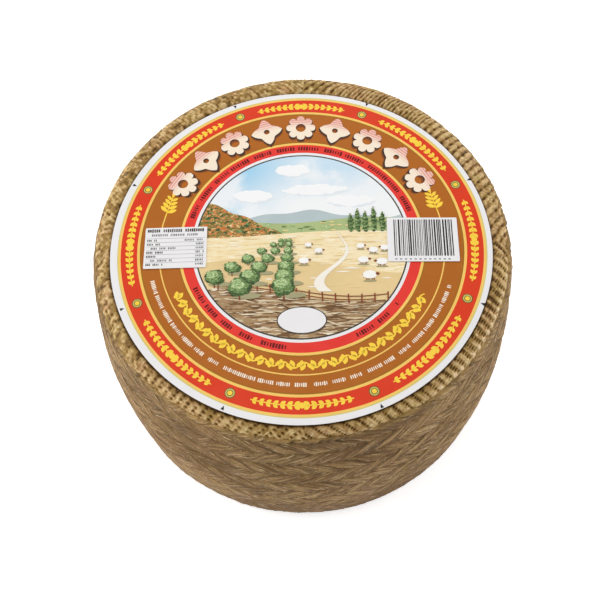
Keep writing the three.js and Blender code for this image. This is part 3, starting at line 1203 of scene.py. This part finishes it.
garland = {
    "middleRadius": 76.1 * mm, "leafLength": 2.9 * mm, "leafWidth": 1.75 * mm, "middle": 1.3 * mm,
    "pairs": 7, "pairStep": math.radians(2.15), "splay": math.radians(36), "stem": 0.5 * mm,
    "firstAngle": math.radians(44.9), "step": math.radians(45),
}


def garlands():
    # eight leaf garlands on the red ring, each of two halves that grow from its middle to its ends
    form = bmesh.new()
    size = garland
    for side in (-1, 1):
        for i in range(size["pairs"]):
            angle = math.pi / 2 + side * size["pairStep"] * (i + 1.1)
            x, y = polar(size["middleRadius"], angle)
            heading = angle - math.pi / 2 - side * math.pi / 2
            shrink = 1.0 - 0.035 * i
            leaf = leafOutline(size["leafLength"] * shrink, size["leafWidth"] * shrink)
            for splay in (-size["splay"], size["splay"]):
                addPrism(form, turnedPoints(leaf, heading + splay, x, y), inkLow, inkHigh)
    reach = size["pairStep"] * (size["pairs"] + 0.4)
    arcBand(form, lambda angle: size["middleRadius"], math.pi / 2 - reach, math.pi / 2 + reach, size["stem"],
            inkLow * 0.9, inkHigh * 0.9, 24)
    middle = circlePoints(size["middle"], 14, polar(size["middleRadius"], math.pi / 2))
    addPrism(form, middle, inkLow * 1.1, inkHigh * 1.1)
    printRound("label_garlands", motifFrom(form), "leafYellow", 1, 8, 0.0, size["firstAngle"], size["step"])


roundels = {
    "radius": 76.2 * mm, "first": math.radians(22.4), "step": math.radians(45), "outer": 2.25 * mm,
    "tickRadius": 82.9 * mm, "tick": 1.9 * mm,
}


def roundelsAndTicks():
    discs = ((1.0, "olive"), (0.82, "fringe"), (0.62, "olive"), (0.46, "leafYellow"))
    for layer, (share, ink) in enumerate(discs, 1):
        form = bmesh.new()
        addPrism(form, circlePoints(roundels["outer"] * share, 28), inkLow, inkHigh)
        printRound(f"label_roundels_{layer}", motifFrom(form), ink, layer, 8, roundels["radius"],
                   roundels["first"], roundels["step"])
    form = bmesh.new()
    half = roundels["tick"] / 2
    addPrism(form, [(-half * 0.8, half), (0, -half), (half * 0.8, half)], inkLow, inkHigh)
    printRound("label_ticks", motifFrom(form), "black", 1, 8, roundels["tickRadius"], roundels["first"],
               roundels["step"])


ornaments = {
    "radius": 63.2 * mm, "first": math.radians(149.4), "step": math.radians(-14.85),
    "size": 6.9 * mm, "nearDrop": 0.9 * mm, "farDrop": 1.9 * mm, "sides": 96, "lines": 11,
}


def blossomShape(angle):
    # eight round petals
    petal = abs(math.cos(4 * angle))
    return 0.86 + 0.14 * petal ** 0.6 - 0.16 * (1 - petal) ** 2


def starShape(angle):
    # four broad rounded petals
    return 0.66 + 0.42 * (1 - abs(math.sin(2 * angle))) ** 0.75


def addOrnament(form, shape, hole, size, y, low, high):
    # flat ring between a shaped outline and a round hole
    angles = [2 * math.pi * i / ornaments["sides"] for i in range(ornaments["sides"])]
    outer = [(size * shape(a) * math.cos(a), y + size * shape(a) * math.sin(a)) for a in angles]
    inner = [(size * hole * math.cos(a), y + size * hole * math.sin(a)) for a in angles]
    addBand(form, outer, inner, low, high, True)


def creamStripes():
    # cream ornament ink whose upper part is ruled with pink lines
    material, shader = newMaterial("creamStripedInk")
    rise = attribute(material, "rise")
    grain = noise(material, objectPlace(material), 0.4 * mm)
    wave = mathNode(material, "SINE", mathNode(material, "MULTIPLY", rise, ornaments["lines"] * 2 * math.pi))
    ruled = mapRange(material, wave, -0.3, 0.3, 0.35, 1.0)
    share = mathNode(material, "MULTIPLY", ruled, mapRange(material, rise, 0.45, 0.85, 0.0, 0.85))
    tone = mixColour(material, share, screenColour(250, 234, 212), screenColour(222, 116, 116))
    grained = mapRange(material, grain, 0.3, 0.7, 0.0, 0.12)
    tone = mixColour(material, grained, tone, screenColour(190, 150, 120))
    link(material, tone, shader.inputs["Base Color"])
    shader.inputs["Roughness"].default_value = paperFinish["roughness"]
    shader.inputs["Specular IOR Level"].default_value = paperFinish["gloss"]
    return material


def bigOrnaments():
    # nine ornaments on the brown band, in turn a blossom and a star, each over two stepped shadows
    size = ornaments["size"]
    first, step = ornaments["first"], ornaments["step"]
    inks["creamStriped"] = creamStripes()
    for part, ink, layer, drop, copies, grow in (
            ("far", "farShadow", 1, ornaments["farDrop"], 5, 1.0),
            ("near", "nearShadow", 2, ornaments["nearDrop"], 3, 1.04),
            ("face", "creamStriped", 3, 0.0, 1, 1.0)):
        for kind, shape, hole, count, start in (("blossoms", blossomShape, 0.34, 5, first),
                                                ("stars", starShape, 0.2, 4, first + step)):
            form = bmesh.new()
            for i in range(copies):
                nudge = 1 - 0.06 * i
                shift = drop * (i + 1) / copies
                addOrnament(form, shape, hole, size * grow, -shift, inkLow * nudge, inkHigh * nudge)
            motif = motifFrom(form)
            if part == "face":
                rise = motif.data.attributes.new("rise", "FLOAT", "POINT")
                rise.data.foreach_set("value", [(v.co.y / size + 1) / 2 for v in motif.data.vertices])
            printRound(f"label_{kind}_{part}", motif, ink, layer, count, ornaments["radius"], start,
                       2 * step)


vine = {
    "radius": 58.8 * mm, "first": math.radians(205), "last": math.radians(333),
    "swing": 1.2 * mm, "waves": 15,
    "stem": 0.7 * mm, "leafLength": 3.9 * mm, "leafWidth": 2.2 * mm, "splays": (0.45, 1.2),
    "berry": 0.75 * mm, "berryShift": 1.5 * mm, "berryTurn": math.radians(1.3),
}


def vineScroll():
    span = vine["last"] - vine["first"]

    def stemRadius(angle):
        turns = (angle - vine["first"]) / span * vine["waves"]
        return vine["radius"] + vine["swing"] * math.sin(turns * 2 * math.pi)

    form = bmesh.new()
    arcBand(form, stemRadius, vine["first"], vine["last"], vine["stem"], inkLow, inkHigh, 390)
    leaf = leafOutline(vine["leafLength"], vine["leafWidth"])
    for i in range(vine["waves"] * 2):
        angle = vine["first"] + span * (i + 0.5) / (vine["waves"] * 2)
        x, y = polar(stemRadius(angle), angle)
        outward = 1 if i % 2 else -1
        for splay in vine["splays"]:
            heading = angle - math.pi / 2 + (0 if outward > 0 else math.pi) - outward * splay
            addPrism(form, turnedPoints(leaf, heading, x, y), inkLow * 0.9, inkHigh * 0.9)
        berryPlace = polar(vine["radius"] - outward * vine["berryShift"], angle - vine["berryTurn"])
        addPrism(form, circlePoints(vine["berry"], 10, berryPlace), inkLow * 1.1, inkHigh * 1.1)
    printOnLabel("label_vine", form, "leafYellow", 1)


sprig = {"length": 11.5 * mm, "pairs": 4, "leafLength": 4.6 * mm, "leafWidth": 1.9 * mm, "stem": 0.5 * mm}
guideLine = {
    "radius": 63.0 * mm, "first": math.radians(165.5), "last": math.radians(374.5), "width": 0.6 * mm,
}


def sprigForm():
    size = sprig
    length, leafLength, leafWidth = size["length"], size["leafLength"], size["leafWidth"]
    form = bmesh.new()
    addBar(form, 0, length / 2 - 1.5 * mm, size["stem"], length, inkLow * 0.9, inkHigh * 0.9)
    for i in range(size["pairs"]):
        share = i / size["pairs"]
        nudge = 1 - 0.04 * i
        leaf = leafOutline(leafLength * (1 - 0.35 * share), leafWidth * (1 - 0.3 * share), 8)
        for side in (-1, 1):
            y = length * (0.08 + 0.74 * share + (0.04 if side > 0 else 0))
            splay = side * math.radians(58 - 10 * share)
            addPrism(form, turnedPoints(leaf, splay, 0, y), inkLow * nudge, inkHigh * nudge)
    tip = leafOutline(leafLength * 0.8, leafWidth * 0.8, 8)
    addPrism(form, turnedPoints(tip, 0, 0, length * 0.8), inkLow * 1.1, inkHigh * 1.1)
    return form


def sprigs():
    # a leafy sprig at each end of a thin guide line
    line = guideLine
    for name, angle, turn in (("left", line["first"], -math.pi / 2), ("right", line["last"], math.pi / 2)):
        printRound(f"label_sprig_{name}", motifFrom(sprigForm()), "leafYellow", 2, 1, line["radius"], angle,
                   0.0, turn)
    form = bmesh.new()
    arcBand(form, lambda angle: line["radius"], line["first"], line["last"], line["width"],
            inkLow, inkHigh, 240)
    printOnLabel("label_guide_line", form, "yellow", 1)


smallPrintRows = [
    # name, ink, radius, first and last angle, pitch, width, height in millimetres, group length, seed
    ("label_small_print_cream", "cream", 67.3, 196, 341, 0.85, 0.46, 1.9, 9.0, 3),
    ("label_small_print_top", "maroon", 51.0, 18, 170, 1.25, 0.72, 2.2, 9.0, 5),
    ("label_small_print_left", "maroon", 51.0, 206, 264, 1.25, 0.72, 2.2, 8.0, 7),
    ("label_small_print_right", "maroon", 51.0, 297, 324, 1.25, 0.72, 2.2, 9.0, 9),
]


def smallPrint():
    # groups of tiny bars where a label carries print too small to read
    for name, ink, radius, first, last, pitch, width, height, group, seed in smallPrintRows:
        step = pitch / radius
        mesh = grown(name, "words", {
            "Count": int(math.radians(last - first) / step), "Radius": radius * mm,
            "First Angle": math.radians(first), "Step Angle": step, "Width": width * mm,
            "Height": height * mm, "Thickness": paper["inkStep"], "Group": group, "Seed": seed,
            "Ink": inks[ink]})
        addToLabel(name, mesh, 1)


# Picture in the middle of the label: a made-up countryside. Its places are in millimetres from the
# label's middle, and skylines are shares of the picture's radius.

picture = {"radius": 46.6 * mm, "columns": 120, "dabStep": 0.0003 * mm}

# each ground's ink and skyline, from the far one to the near one
skylines = {
    "far_ridge": ("ridge", lambda x: 0.31 + 0.04 * math.sin(4.6 * x + 1.4) + 0.015 * math.sin(13 * x)),
    "meadow": ("farMeadow", lambda x: 0.24 + 0.03 * math.sin(4 * x - 1)),
    "left_hill": ("scrubHill", lambda x: 0.08 - 0.42 * x - 0.1 * (x + 1) ** 2 + 0.012 * math.sin(21 * x)),
    "field": ("field", lambda x: 0.09 + 0.03 * math.sin(2.4 * x + 0.6)),
    "field_shade": ("fieldShade", lambda x: -0.26 + 0.1 * math.sin(2.1 * x + 2.4)),
    "ploughed": ("earth", lambda x: -0.56 + 0.08 * math.sin(2.6 * x + 3.4)),
}


def heightOf(ground, x):
    # height of a ground's skyline above a place, both in millimetres
    size = picture["radius"] / mm
    return skylines[ground][1](x / size) * size


def hillForm(curve):
    # closed slab under a skyline, cut off by the picture's round edge
    form = bmesh.new()
    size = picture["radius"]
    foot, skyline = [], []
    for i in range(picture["columns"] + 1):
        x = -1 + 2 * i / picture["columns"]
        edge = math.sqrt(max(0.0, 1 - x * x))
        height = min(curve(x), edge)
        if height > -edge + 0.002:
            foot.append((x * size, -edge * size))
            skyline.append((x * size, height * size))
    addBand(form, foot, skyline, inkLow, inkHigh)
    bmesh.ops.recalc_face_normals(form, faces=form.faces)
    return form


class Dabs:
    # small dabs of several inks; each lies a hair above the last, so that later dabs cover earlier ones.
    # Places and sizes are in millimetres, and a dab that would cross the picture's edge is left out.
    def __init__(self, seed):
        self.draw = random.Random(seed)
        self.forms = {}
        self.count = 0

    def formFor(self, ink):
        # the ink's form, and the lower and upper side of the next dab
        self.count += 1
        return self.forms.setdefault(ink, bmesh.new()), inkLow, self.count * picture["dabStep"]

    def add(self, ink, x, y, width, depth, sides=9, rough=0.2):
        if math.hypot(x, y) * mm + max(width, depth) * mm * (1 + rough) > picture["radius"]:
            return
        form, low, high = self.formFor(ink)
        outline = []
        for i in range(sides):
            angle = 2 * math.pi * i / sides
            share = 1 + self.draw.uniform(-rough, rough)
            outline.append((x * mm + width * share * math.cos(angle) * mm,
                            y * mm + depth * share * math.sin(angle) * mm))
        addPrism(form, outline, low, high)

    def bar(self, ink, x, y, width, depth, turn=0.0):
        if math.hypot(x, y) * mm + width * mm / 2 > picture["radius"]:
            return
        form, low, high = self.formFor(ink)
        addBar(form, x * mm, y * mm, width * mm, depth * mm, low, high, turn)

    def strip(self, ink, points, width, taper=0.15):
        # a streak through points, thinner at both ends
        if any(math.hypot(x, y) * mm + width * mm > picture["radius"] for x, y in points):
            return
        form, low, high = self.formFor(ink)
        last = len(points) - 1
        half = [width / 2 * (taper + (1 - taper) * math.sin(math.pi * i / last)) for i in range(last + 1)]
        lower = [(x * mm, (y - h) * mm) for (x, y), h in zip(points, half)]
        upper = [(x * mm, (y + h) * mm) for (x, y), h in zip(points, half)]
        addPrism(form, lower + upper[::-1], low, high)

    def print(self, name, layer):
        for ink, form in self.forms.items():
            printOnLabel(f"picture_{name}_{ink}", form, ink, layer)


def clouds():
    dabs = Dabs(31)
    for cx, cy, width in ((6, 27, 14), (22, 21, 10), (-22, 24, 8), (-4, 38, 7)):
        for ink in ("cloudBase", "cloud"):
            for i in range(13):
                share = i / 12 * 2 - 1
                x = cx + width * share
                puff = (0.9 + 2.2 * (1 - share * share)) * dabs.draw.uniform(0.75, 1.1)
                if ink == "cloudBase":
                    dabs.add(ink, x + 0.8, cy - 0.5 * puff, puff * 1.5, puff * 0.5, 11, 0.1)
                else:
                    dabs.add(ink, x, cy + dabs.draw.uniform(0.2, 1.4), puff * 1.3, puff, 11, 0.1)
    dabs.print("clouds", 1)


def hills():
    for layer, (name, (ink, curve)) in enumerate(skylines.items(), 2):
        printOnLabel("picture_" + name, hillForm(curve), ink, layer)


def groundTexture():
    # bushes on the hill, hedges in the meadow, streaks in the fields and furrows in the ploughed strip
    dabs = Dabs(47)
    draw = dabs.draw
    for _ in range(150):
        x, y = draw.uniform(-44, 8), draw.uniform(5, 24)
        if heightOf("field", x) + 0.8 < y < heightOf("left_hill", x) - 0.9:
            ink = draw.choice(("bushDark", "bushMid", "scrubOrange", "bushDark"))
            width = draw.uniform(0.5, 1.1)
            dabs.add(ink, x, y, width * 1.3, width * 0.8, 9, 0.3)
    for _ in range(60):
        x, y = draw.uniform(-20, 42), draw.uniform(5.4, 11)
        isInMeadow = heightOf("field", x) + 0.4 < y < heightOf("meadow", x) - 0.6
        if isInMeadow and y > heightOf("left_hill", x) + 0.5:
            dabs.add(draw.choice(("bushMid", "scrubCream", "bushLight")), x, y, 1.4, 0.4, 9, 0.3)
    for _ in range(70):
        x, y = draw.uniform(-40, 40), draw.uniform(-24, 4.5)
        if heightOf("ploughed", x) + 0.7 < y < heightOf("field", x) - 0.6:
            reach, slope = draw.uniform(3, 9), draw.uniform(-0.03, 0.05)
            points = [(x + reach * (k / 6 - 0.5), y + slope * reach * (k / 6 - 0.5)) for k in range(7)]
            dabs.strip(draw.choice(("fieldShade", "path", "scrubCream")), points, draw.uniform(0.25, 0.6))
    for _ in range(110):
        x, y = draw.uniform(-38, 38), draw.uniform(-45, -20)
        reach, bow = draw.uniform(5, 14), draw.uniform(-0.5, 0.9)
        points = [(x + reach * (k / 6 - 0.5), y - 0.12 * reach * (k / 6 - 0.5) + bow * math.sin(k))
                  for k in range(7)]
        if all(py < heightOf("ploughed", px) - 0.3 for px, py in points):
            dabs.strip(draw.choice(("earthDark", "earthPale")), points, draw.uniform(0.35, 0.9))
    dabs.print("ground", 8)


def windingPath():
    left, right = [], []
    for down in (i / 60 for i in range(61)):
        y = 4.6 - 29.5 * down
        middle = 15 + 8 * math.sin(down * 5.2 + 0.4) * (0.3 + down) + 2 * down
        half = 0.22 + 2.6 * down ** 1.6
        left.append(((middle - half) * mm, y * mm))
        right.append(((middle + half) * mm, y * mm))
    form = bmesh.new()
    addPrism(form, left + right[::-1], inkLow, inkHigh)
    printOnLabel("picture_path", form, "path", 12)


def foliage(dabs, x, y, size):
    # a round bush lit from the upper left, with its shadow on the ground
    dabs.add("bushShadow", x + size * 0.6, y - size * 0.72, size * 1.0, size * 0.24, 16, 0.08)
    dabs.bar("timber", x + size * 0.06, y - size * 0.78, size * 0.12, size * 0.5)
    parts = (("bushDark", 0.04, -0.06, 0.55, 0.40, 9), ("bushMid", -0.04, 0.08, 0.50, 0.34, 7),
             ("bushLight", -0.16, 0.24, 0.34, 0.24, 5))
    for ink, shiftX, shiftY, spread, blob, puffs in parts:
        cx, cy = x + size * shiftX, y + size * shiftY
        for i in range(puffs):
            angle = 2 * math.pi * (i + dabs.draw.uniform(-0.2, 0.2)) / puffs
            reach = size * spread * dabs.draw.uniform(0.75, 1.0)
            radius = size * blob * dabs.draw.uniform(0.8, 1.15)
            dabs.add(ink, cx + reach * math.cos(angle), cy + 0.8 * reach * math.sin(angle),
                     radius, radius * 0.85, 12, 0.16)
        dabs.add(ink, cx, cy, size * spread * 0.9, size * spread * 0.75, 12, 0.1)


def vineyard():
    # three rows of round bushes that widen towards the viewer
    dabs = Dabs(77)
    for i in range(7):
        near = 0.10 + 0.90 * (i / 6) ** 1.35
        for footX in (-46, -27, -8):
            foliage(dabs, -5 + (footX + 5) * near, 3.4 - 25.5 * near, 0.9 + 5.2 * near)
    dabs.print("vineyard", 13)


def poplars():
    dabs = Dabs(19)
    for x, height in ((22, 9.0), (25.2, 11.5), (28.6, 10.2), (32.4, 12.4), (36.2, 9.6)):
        for i in range(15):
            share = i / 14
            width = 1.3 * math.sin(math.pi * (0.15 + 0.8 * share)) ** 0.7
            ink = ("bushDark", "bushMid", "bushDark")[i % 3]
            y = 5.2 + share * height
            dabs.add(ink, x + dabs.draw.uniform(-0.25, 0.25), y, width, width * 0.7, 10, 0.22)
            if i % 2:
                dabs.add("bushLight", x - width * 0.4, y + 0.2, width * 0.35, width * 0.4, 8, 0.2)
    dabs.print("poplars", 13)


def flock():
    # sheep in the open field
    dabs = Dabs(12)
    for x, y, size in ((3, -1.5, 1.5), (7.5, -4.5, 1.8), (26, -2.5, 1.7), (31.5, -4.5, 2.0),
                       (36.5, -3.5, 1.9), (27, -9.5, 2.3), (35.0, -10.5, 2.4), (1.0, -9.5, 2.2),
                       (29.5, -17.0, 2.9)):
        side = 1 if x < 30 else -1
        for leg in (-0.5, -0.2, 0.3, 0.6):
            dabs.bar("timber", x + size * leg * side, y - size * 0.7, size * 0.16, size * 0.75)
        dabs.add("bushShadow", x, y - size * 1.05, size * 1.1, size * 0.16, 10, 0.1)
        for puff in range(9):
            angle = 2 * math.pi * puff / 9
            dabs.add("wool", x + size * 0.62 * math.cos(angle), y + size * 0.32 * math.sin(angle),
                     size * 0.46, size * 0.4, 9, 0.08)
        dabs.add("wool", x, y, size * 0.6, size * 0.36, 10, 0.05)
        dabs.add("timber", x + size * 1.15 * side, y + size * 0.14, size * 0.3, size * 0.24, 9, 0.05)
    dabs.print("flock", 13)


def railFence():
    dabs = Dabs(5)
    feet = [(x, heightOf("ploughed", x) - 0.4) for x in (-36 + 5.6 * i for i in range(14))]
    for (x, y), (nextX, nextY) in zip(feet, feet[1:]):
        turn = math.atan2(nextY - y, nextX - x)
        for lift in (1.0, 2.7):
            dabs.bar("timber", (x + nextX) / 2, (y + nextY) / 2 + lift, (nextX - x) * 1.02, 0.42, turn)
    for x, y in feet:
        dabs.bar("timber", x, y + 1.6, 0.62, 4.4, dabs.draw.uniform(-0.05, 0.05))
    dabs.print("fence", 18)


oval = {"x": 0.0, "y": -38.4 * mm, "halfWidth": 10.6 * mm, "halfHeight": 6.4 * mm, "line": 0.45 * mm}


def plainOval():
    for name, ink, layer, inset in (("line", "darkLine", 20, 0.0), ("face", "white", 21, oval["line"])):
        form = bmesh.new()
        addPrism(form, [(oval["x"] + (oval["halfWidth"] - inset) * math.cos(a),
                         oval["y"] + (oval["halfHeight"] - inset) * math.sin(a))
                        for a in (2 * math.pi * i / 72 for i in range(72))], inkLow, inkHigh)
        printOnLabel("label_oval_" + name, form, ink, layer)


def printedLabel():
    roundLabel()
    garlands()
    roundelsAndTicks()
    bigOrnaments()
    vineScroll()
    sprigs()
    smallPrint()
    clouds()
    hills()
    groundTexture()
    windingPath()
    vineyard()
    poplars()
    flock()
    railFence()
    plainOval()
    print("Label printed")


# Stickers

stickers = {
    "table": {"node": "table_sticker", "width": 27.5 * mm, "depth": 20.8 * mm, "turn": math.radians(-0.9),
              "margin": 0.9 * mm, "firstRow": 6.6 * mm, "rowPitch": 2.05 * mm, "rows": 8, "foot": 0.4 * mm,
              "letter": 1.1 * mm, "letterPitch": 0.72 * mm, "weight": 0.6, "indent": 1.8 * mm,
              "indentedRows": (2, 5), "entry": (5, 12), "firstFigures": 9 * mm, "figures": 4 * mm,
              "ruleRise": 1.0 * mm, "rule": 0.12 * mm},
    "code": {"node": "code_sticker", "width": 31.1 * mm, "depth": 22.4 * mm, "turn": math.radians(-2.7),
             "bars": 31, "module": 0.27 * mm, "barsWidth": 25.9 * mm, "barsHeight": 18.6 * mm,
             "barsLeft": -12.6 * mm, "barsRise": 0.9 * mm, "marks": 12, "marksLeft": -12.0,
             "markPitch": 2.1, "marksRise": -10.0 * mm, "mark": (1.0 * mm, 0.5 * mm)},
    "lift": paper["gap"] + paper["thickness"] + 15 * paper["inkStep"],
    "corner": 0.5 * mm,
}


# lines above the table: part, space at the left and the right, drop, letter height and pitch, weight,
# and how much longer the words are
tableTitles = (
    ("heading", 0, 0, 1.6 * mm, 1.8 * mm, 0.95 * mm, 0.72, 2.0),
    ("words", 2 * mm, 3 * mm, 3.9 * mm, 1.3 * mm, 0.8 * mm, 0.6, 1.5),
)


def addToSticker(name, size, mesh, ink, lift):
    mesh.materials.clear()
    mesh.materials.append(inks[ink])
    low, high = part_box(size["node"])
    layOnSlope(mesh, stickers["lift"] + lift, (low.x + high.x) / 2, (low.y + high.y) / 2, size["turn"])
    finishPiece(linkMesh(name, mesh), size["node"])


def stickerSheet(name, size):
    # thin sheet with small round corners
    form = bmesh.new()
    halfX, halfY, corner = size["width"] / 2, size["depth"] / 2, stickers["corner"]
    outline = []
    for cx, cy, start in ((1, -1, -90), (1, 1, 0), (-1, 1, 90), (-1, -1, 180)):
        for i in range(5):
            angle = math.radians(start + 90 * i / 4)
            outline.append((cx * (halfX - corner) + corner * math.cos(angle),
                            cy * (halfY - corner) + corner * math.sin(angle)))
    addPrism(form, outline, 0, paper["stickerThickness"])
    addToSticker(name, size, meshFromForm(name, form), "white", 0.0)


def stickerPrint(name, size, mesh, ink):
    addToSticker(name, size, mesh, ink, paper["stickerThickness"] + 0.5 * paper["inkStep"])


def tableSticker():
    size = stickers["table"]
    stickerSheet("table_sticker_sheet", size)
    draw = random.Random(8)
    forms = {part: bmesh.new() for part in ("rules", "words", "heading")}
    left, right = -size["width"] / 2 + size["margin"], size["width"] / 2 - size["margin"]
    letters = size["letter"], size["letterPitch"], size["weight"]

    def wordLine(part, first, last, y, height, pitch, weight, longer=1.0):
        # upright bars in groups as long as words
        x = first
        while x < last:
            wordEnd = min(last, x + draw.uniform(2.4, 5.0) * longer * mm)
            while x + pitch < wordEnd:
                width = pitch * weight * draw.uniform(0.8, 1.2)
                addBar(forms[part], x + pitch / 2, y, width, height * draw.uniform(0.75, 1), inkLow, inkHigh)
                x += pitch
            x += pitch * 1.3

    topLine = size["depth"] / 2
    for part, fromLeft, fromRight, drop, *style in tableTitles:
        wordLine(part, left + fromLeft, right - fromRight, topLine - drop, *style)
    for row in range(size["rows"]):
        y = topLine - size["firstRow"] - size["rowPitch"] * row
        if y < -size["depth"] / 2 + size["foot"]:
            break
        indent = size["indent"] if row in size["indentedRows"] else 0
        reach = left + indent + draw.uniform(*size["entry"]) * mm
        wordLine("words" if indent else "heading", left + indent, reach, y, *letters)
        wordLine("words", right - size["figures" if row else "firstFigures"], right, y, *letters)
        addBar(forms["rules"], 0, y + size["ruleRise"], right - left, size["rule"], inkLow, inkHigh)
    for part, form in forms.items():
        ink = "darkLine" if part == "heading" else "grey"
        stickerPrint("table_sticker_" + part, size, meshFromForm(part, form), ink)


def codeSticker():
    size = stickers["code"]
    stickerSheet("code_sticker_sheet", size)
    mesh = grown("code_bars", "bars", {
        "Count": size["bars"], "Module": size["module"], "Height": size["barsHeight"],
        "Thickness": paper["inkStep"], "Seed": 4, "Ink": inks["black"]})
    width = max(v.co.x for v in mesh.vertices) - min(v.co.x for v in mesh.vertices)
    fit = Matrix.Diagonal((size["barsWidth"] / width, 1, 1, 1))
    mesh.transform(Matrix.Translation((size["barsLeft"], size["barsRise"], 0)) @ fit)
    stickerPrint("code_sticker_bars", size, mesh, "black")
    marks = bmesh.new()
    for i in range(size["marks"]):
        x = (size["marksLeft"] + size["markPitch"] * i) * mm
        addBar(marks, x, size["marksRise"], *size["mark"], inkLow, inkHigh)
    stickerPrint("code_sticker_marks", size, meshFromForm("marks", marks), "grey")


cheeseWheel()
printedLabel()
tableSticker()
codeSticker()
print("Cheese made")


# Studio

studioLamps = [
    # name, place in metres, width, power in watts
    ("overheadLamp", (-0.12, 0.2, 1.18), 0.9, 4.2),
    ("backLamp", (0.1, 1.0, 0.78), 0.4, 2.6),
    ("leftLamp", (-1.05, 0.0, 0.42), 0.8, 6.6),
    ("rightLamp", (1.05, 0.15, 0.5), 0.8, 4.4),
]
surroundings = {
    "floorSize": 40, "floorDrop": 0.2 * mm, "floorShade": 0.95, "floorRoughness": 0.9,
    "floorGlow": 0.62, "worldGlow": 0.36,
}


def studio():
    floorMaterial, shader = newMaterial("studioFloor")
    shade = surroundings["floorShade"]
    shader.inputs["Base Color"].default_value = (shade, shade, shade, 1)
    shader.inputs["Roughness"].default_value = surroundings["floorRoughness"]
    shader.inputs["Emission Color"].default_value = (1, 1, 1, 1)
    shader.inputs["Emission Strength"].default_value = surroundings["floorGlow"]
    place = (0, 0, -surroundings["floorDrop"])
    bpy.ops.mesh.primitive_plane_add(size=surroundings["floorSize"], location=place)
    floor = bpy.context.active_object
    floor.name = "studio_floor"
    floor.data.materials.append(floorMaterial)

    world = bpy.data.worlds.new("studioWorld")
    world.use_nodes = True
    background = world.node_tree.nodes["Background"]
    background.inputs["Color"].default_value = (1, 1, 1, 1)
    background.inputs["Strength"].default_value = surroundings["worldGlow"]
    bpy.context.scene.world = world

    for name, place, size, power in studioLamps:
        lamp = bpy.data.lights.new(name, "AREA")
        lamp.shape = "DISK"
        lamp.size = size
        lamp.energy = power
        holder = bpy.data.objects.new(name, lamp)
        holder.location = place
        holder.rotation_euler = (-Vector(place)).to_track_quat("-Z", "Y").to_euler()
        bpy.context.scene.collection.objects.link(holder)
    bpy.context.scene.view_settings.view_transform = "Standard"


camera = {
    "elevation": math.radians(56.61),
    "distance": 426.2 * mm,        # from the middle of the top
    "roll": math.radians(2.37),
    "pitch": -0.00156,
    "yaw": -0.0013,
    "lens": 57.41,
    "sensor": 36,
    "axisAbove": 70 / 600,         # the picture is cut from a frame whose middle lies above it
}


def studioCamera():
    elevation = camera["elevation"]
    place = Vector((0, -math.cos(elevation), math.sin(elevation))) * camera["distance"]
    place.z += top["height"]
    tilt = elevation + camera["pitch"]
    yaw = camera["yaw"]
    back = Vector((-math.sin(yaw) * math.cos(tilt), -math.cos(yaw) * math.cos(tilt), math.sin(tilt)))
    right = Vector((math.cos(yaw), -math.sin(yaw), 0))
    upward = back.cross(right)
    roll = camera["roll"]
    turnedRight = right * math.cos(roll) - upward * math.sin(roll)
    turnedUp = right * math.sin(roll) + upward * math.cos(roll)
    data = bpy.data.cameras.new("studioCamera")
    data.lens = camera["lens"]
    data.sensor_width = camera["sensor"]
    data.shift_y = -camera["axisAbove"]
    data.clip_start = 0.01
    holder = bpy.data.objects.new("studioCamera", data)
    holder.matrix_world = Matrix((
        (turnedRight.x, turnedUp.x, back.x, place.x),
        (turnedRight.y, turnedUp.y, back.y, place.y),
        (turnedRight.z, turnedUp.z, back.z, place.z),
        (0, 0, 0, 1)))
    bpy.context.scene.collection.objects.link(holder)
    bpy.context.scene.camera = holder


studio()
studioCamera()

print("Sizes written")
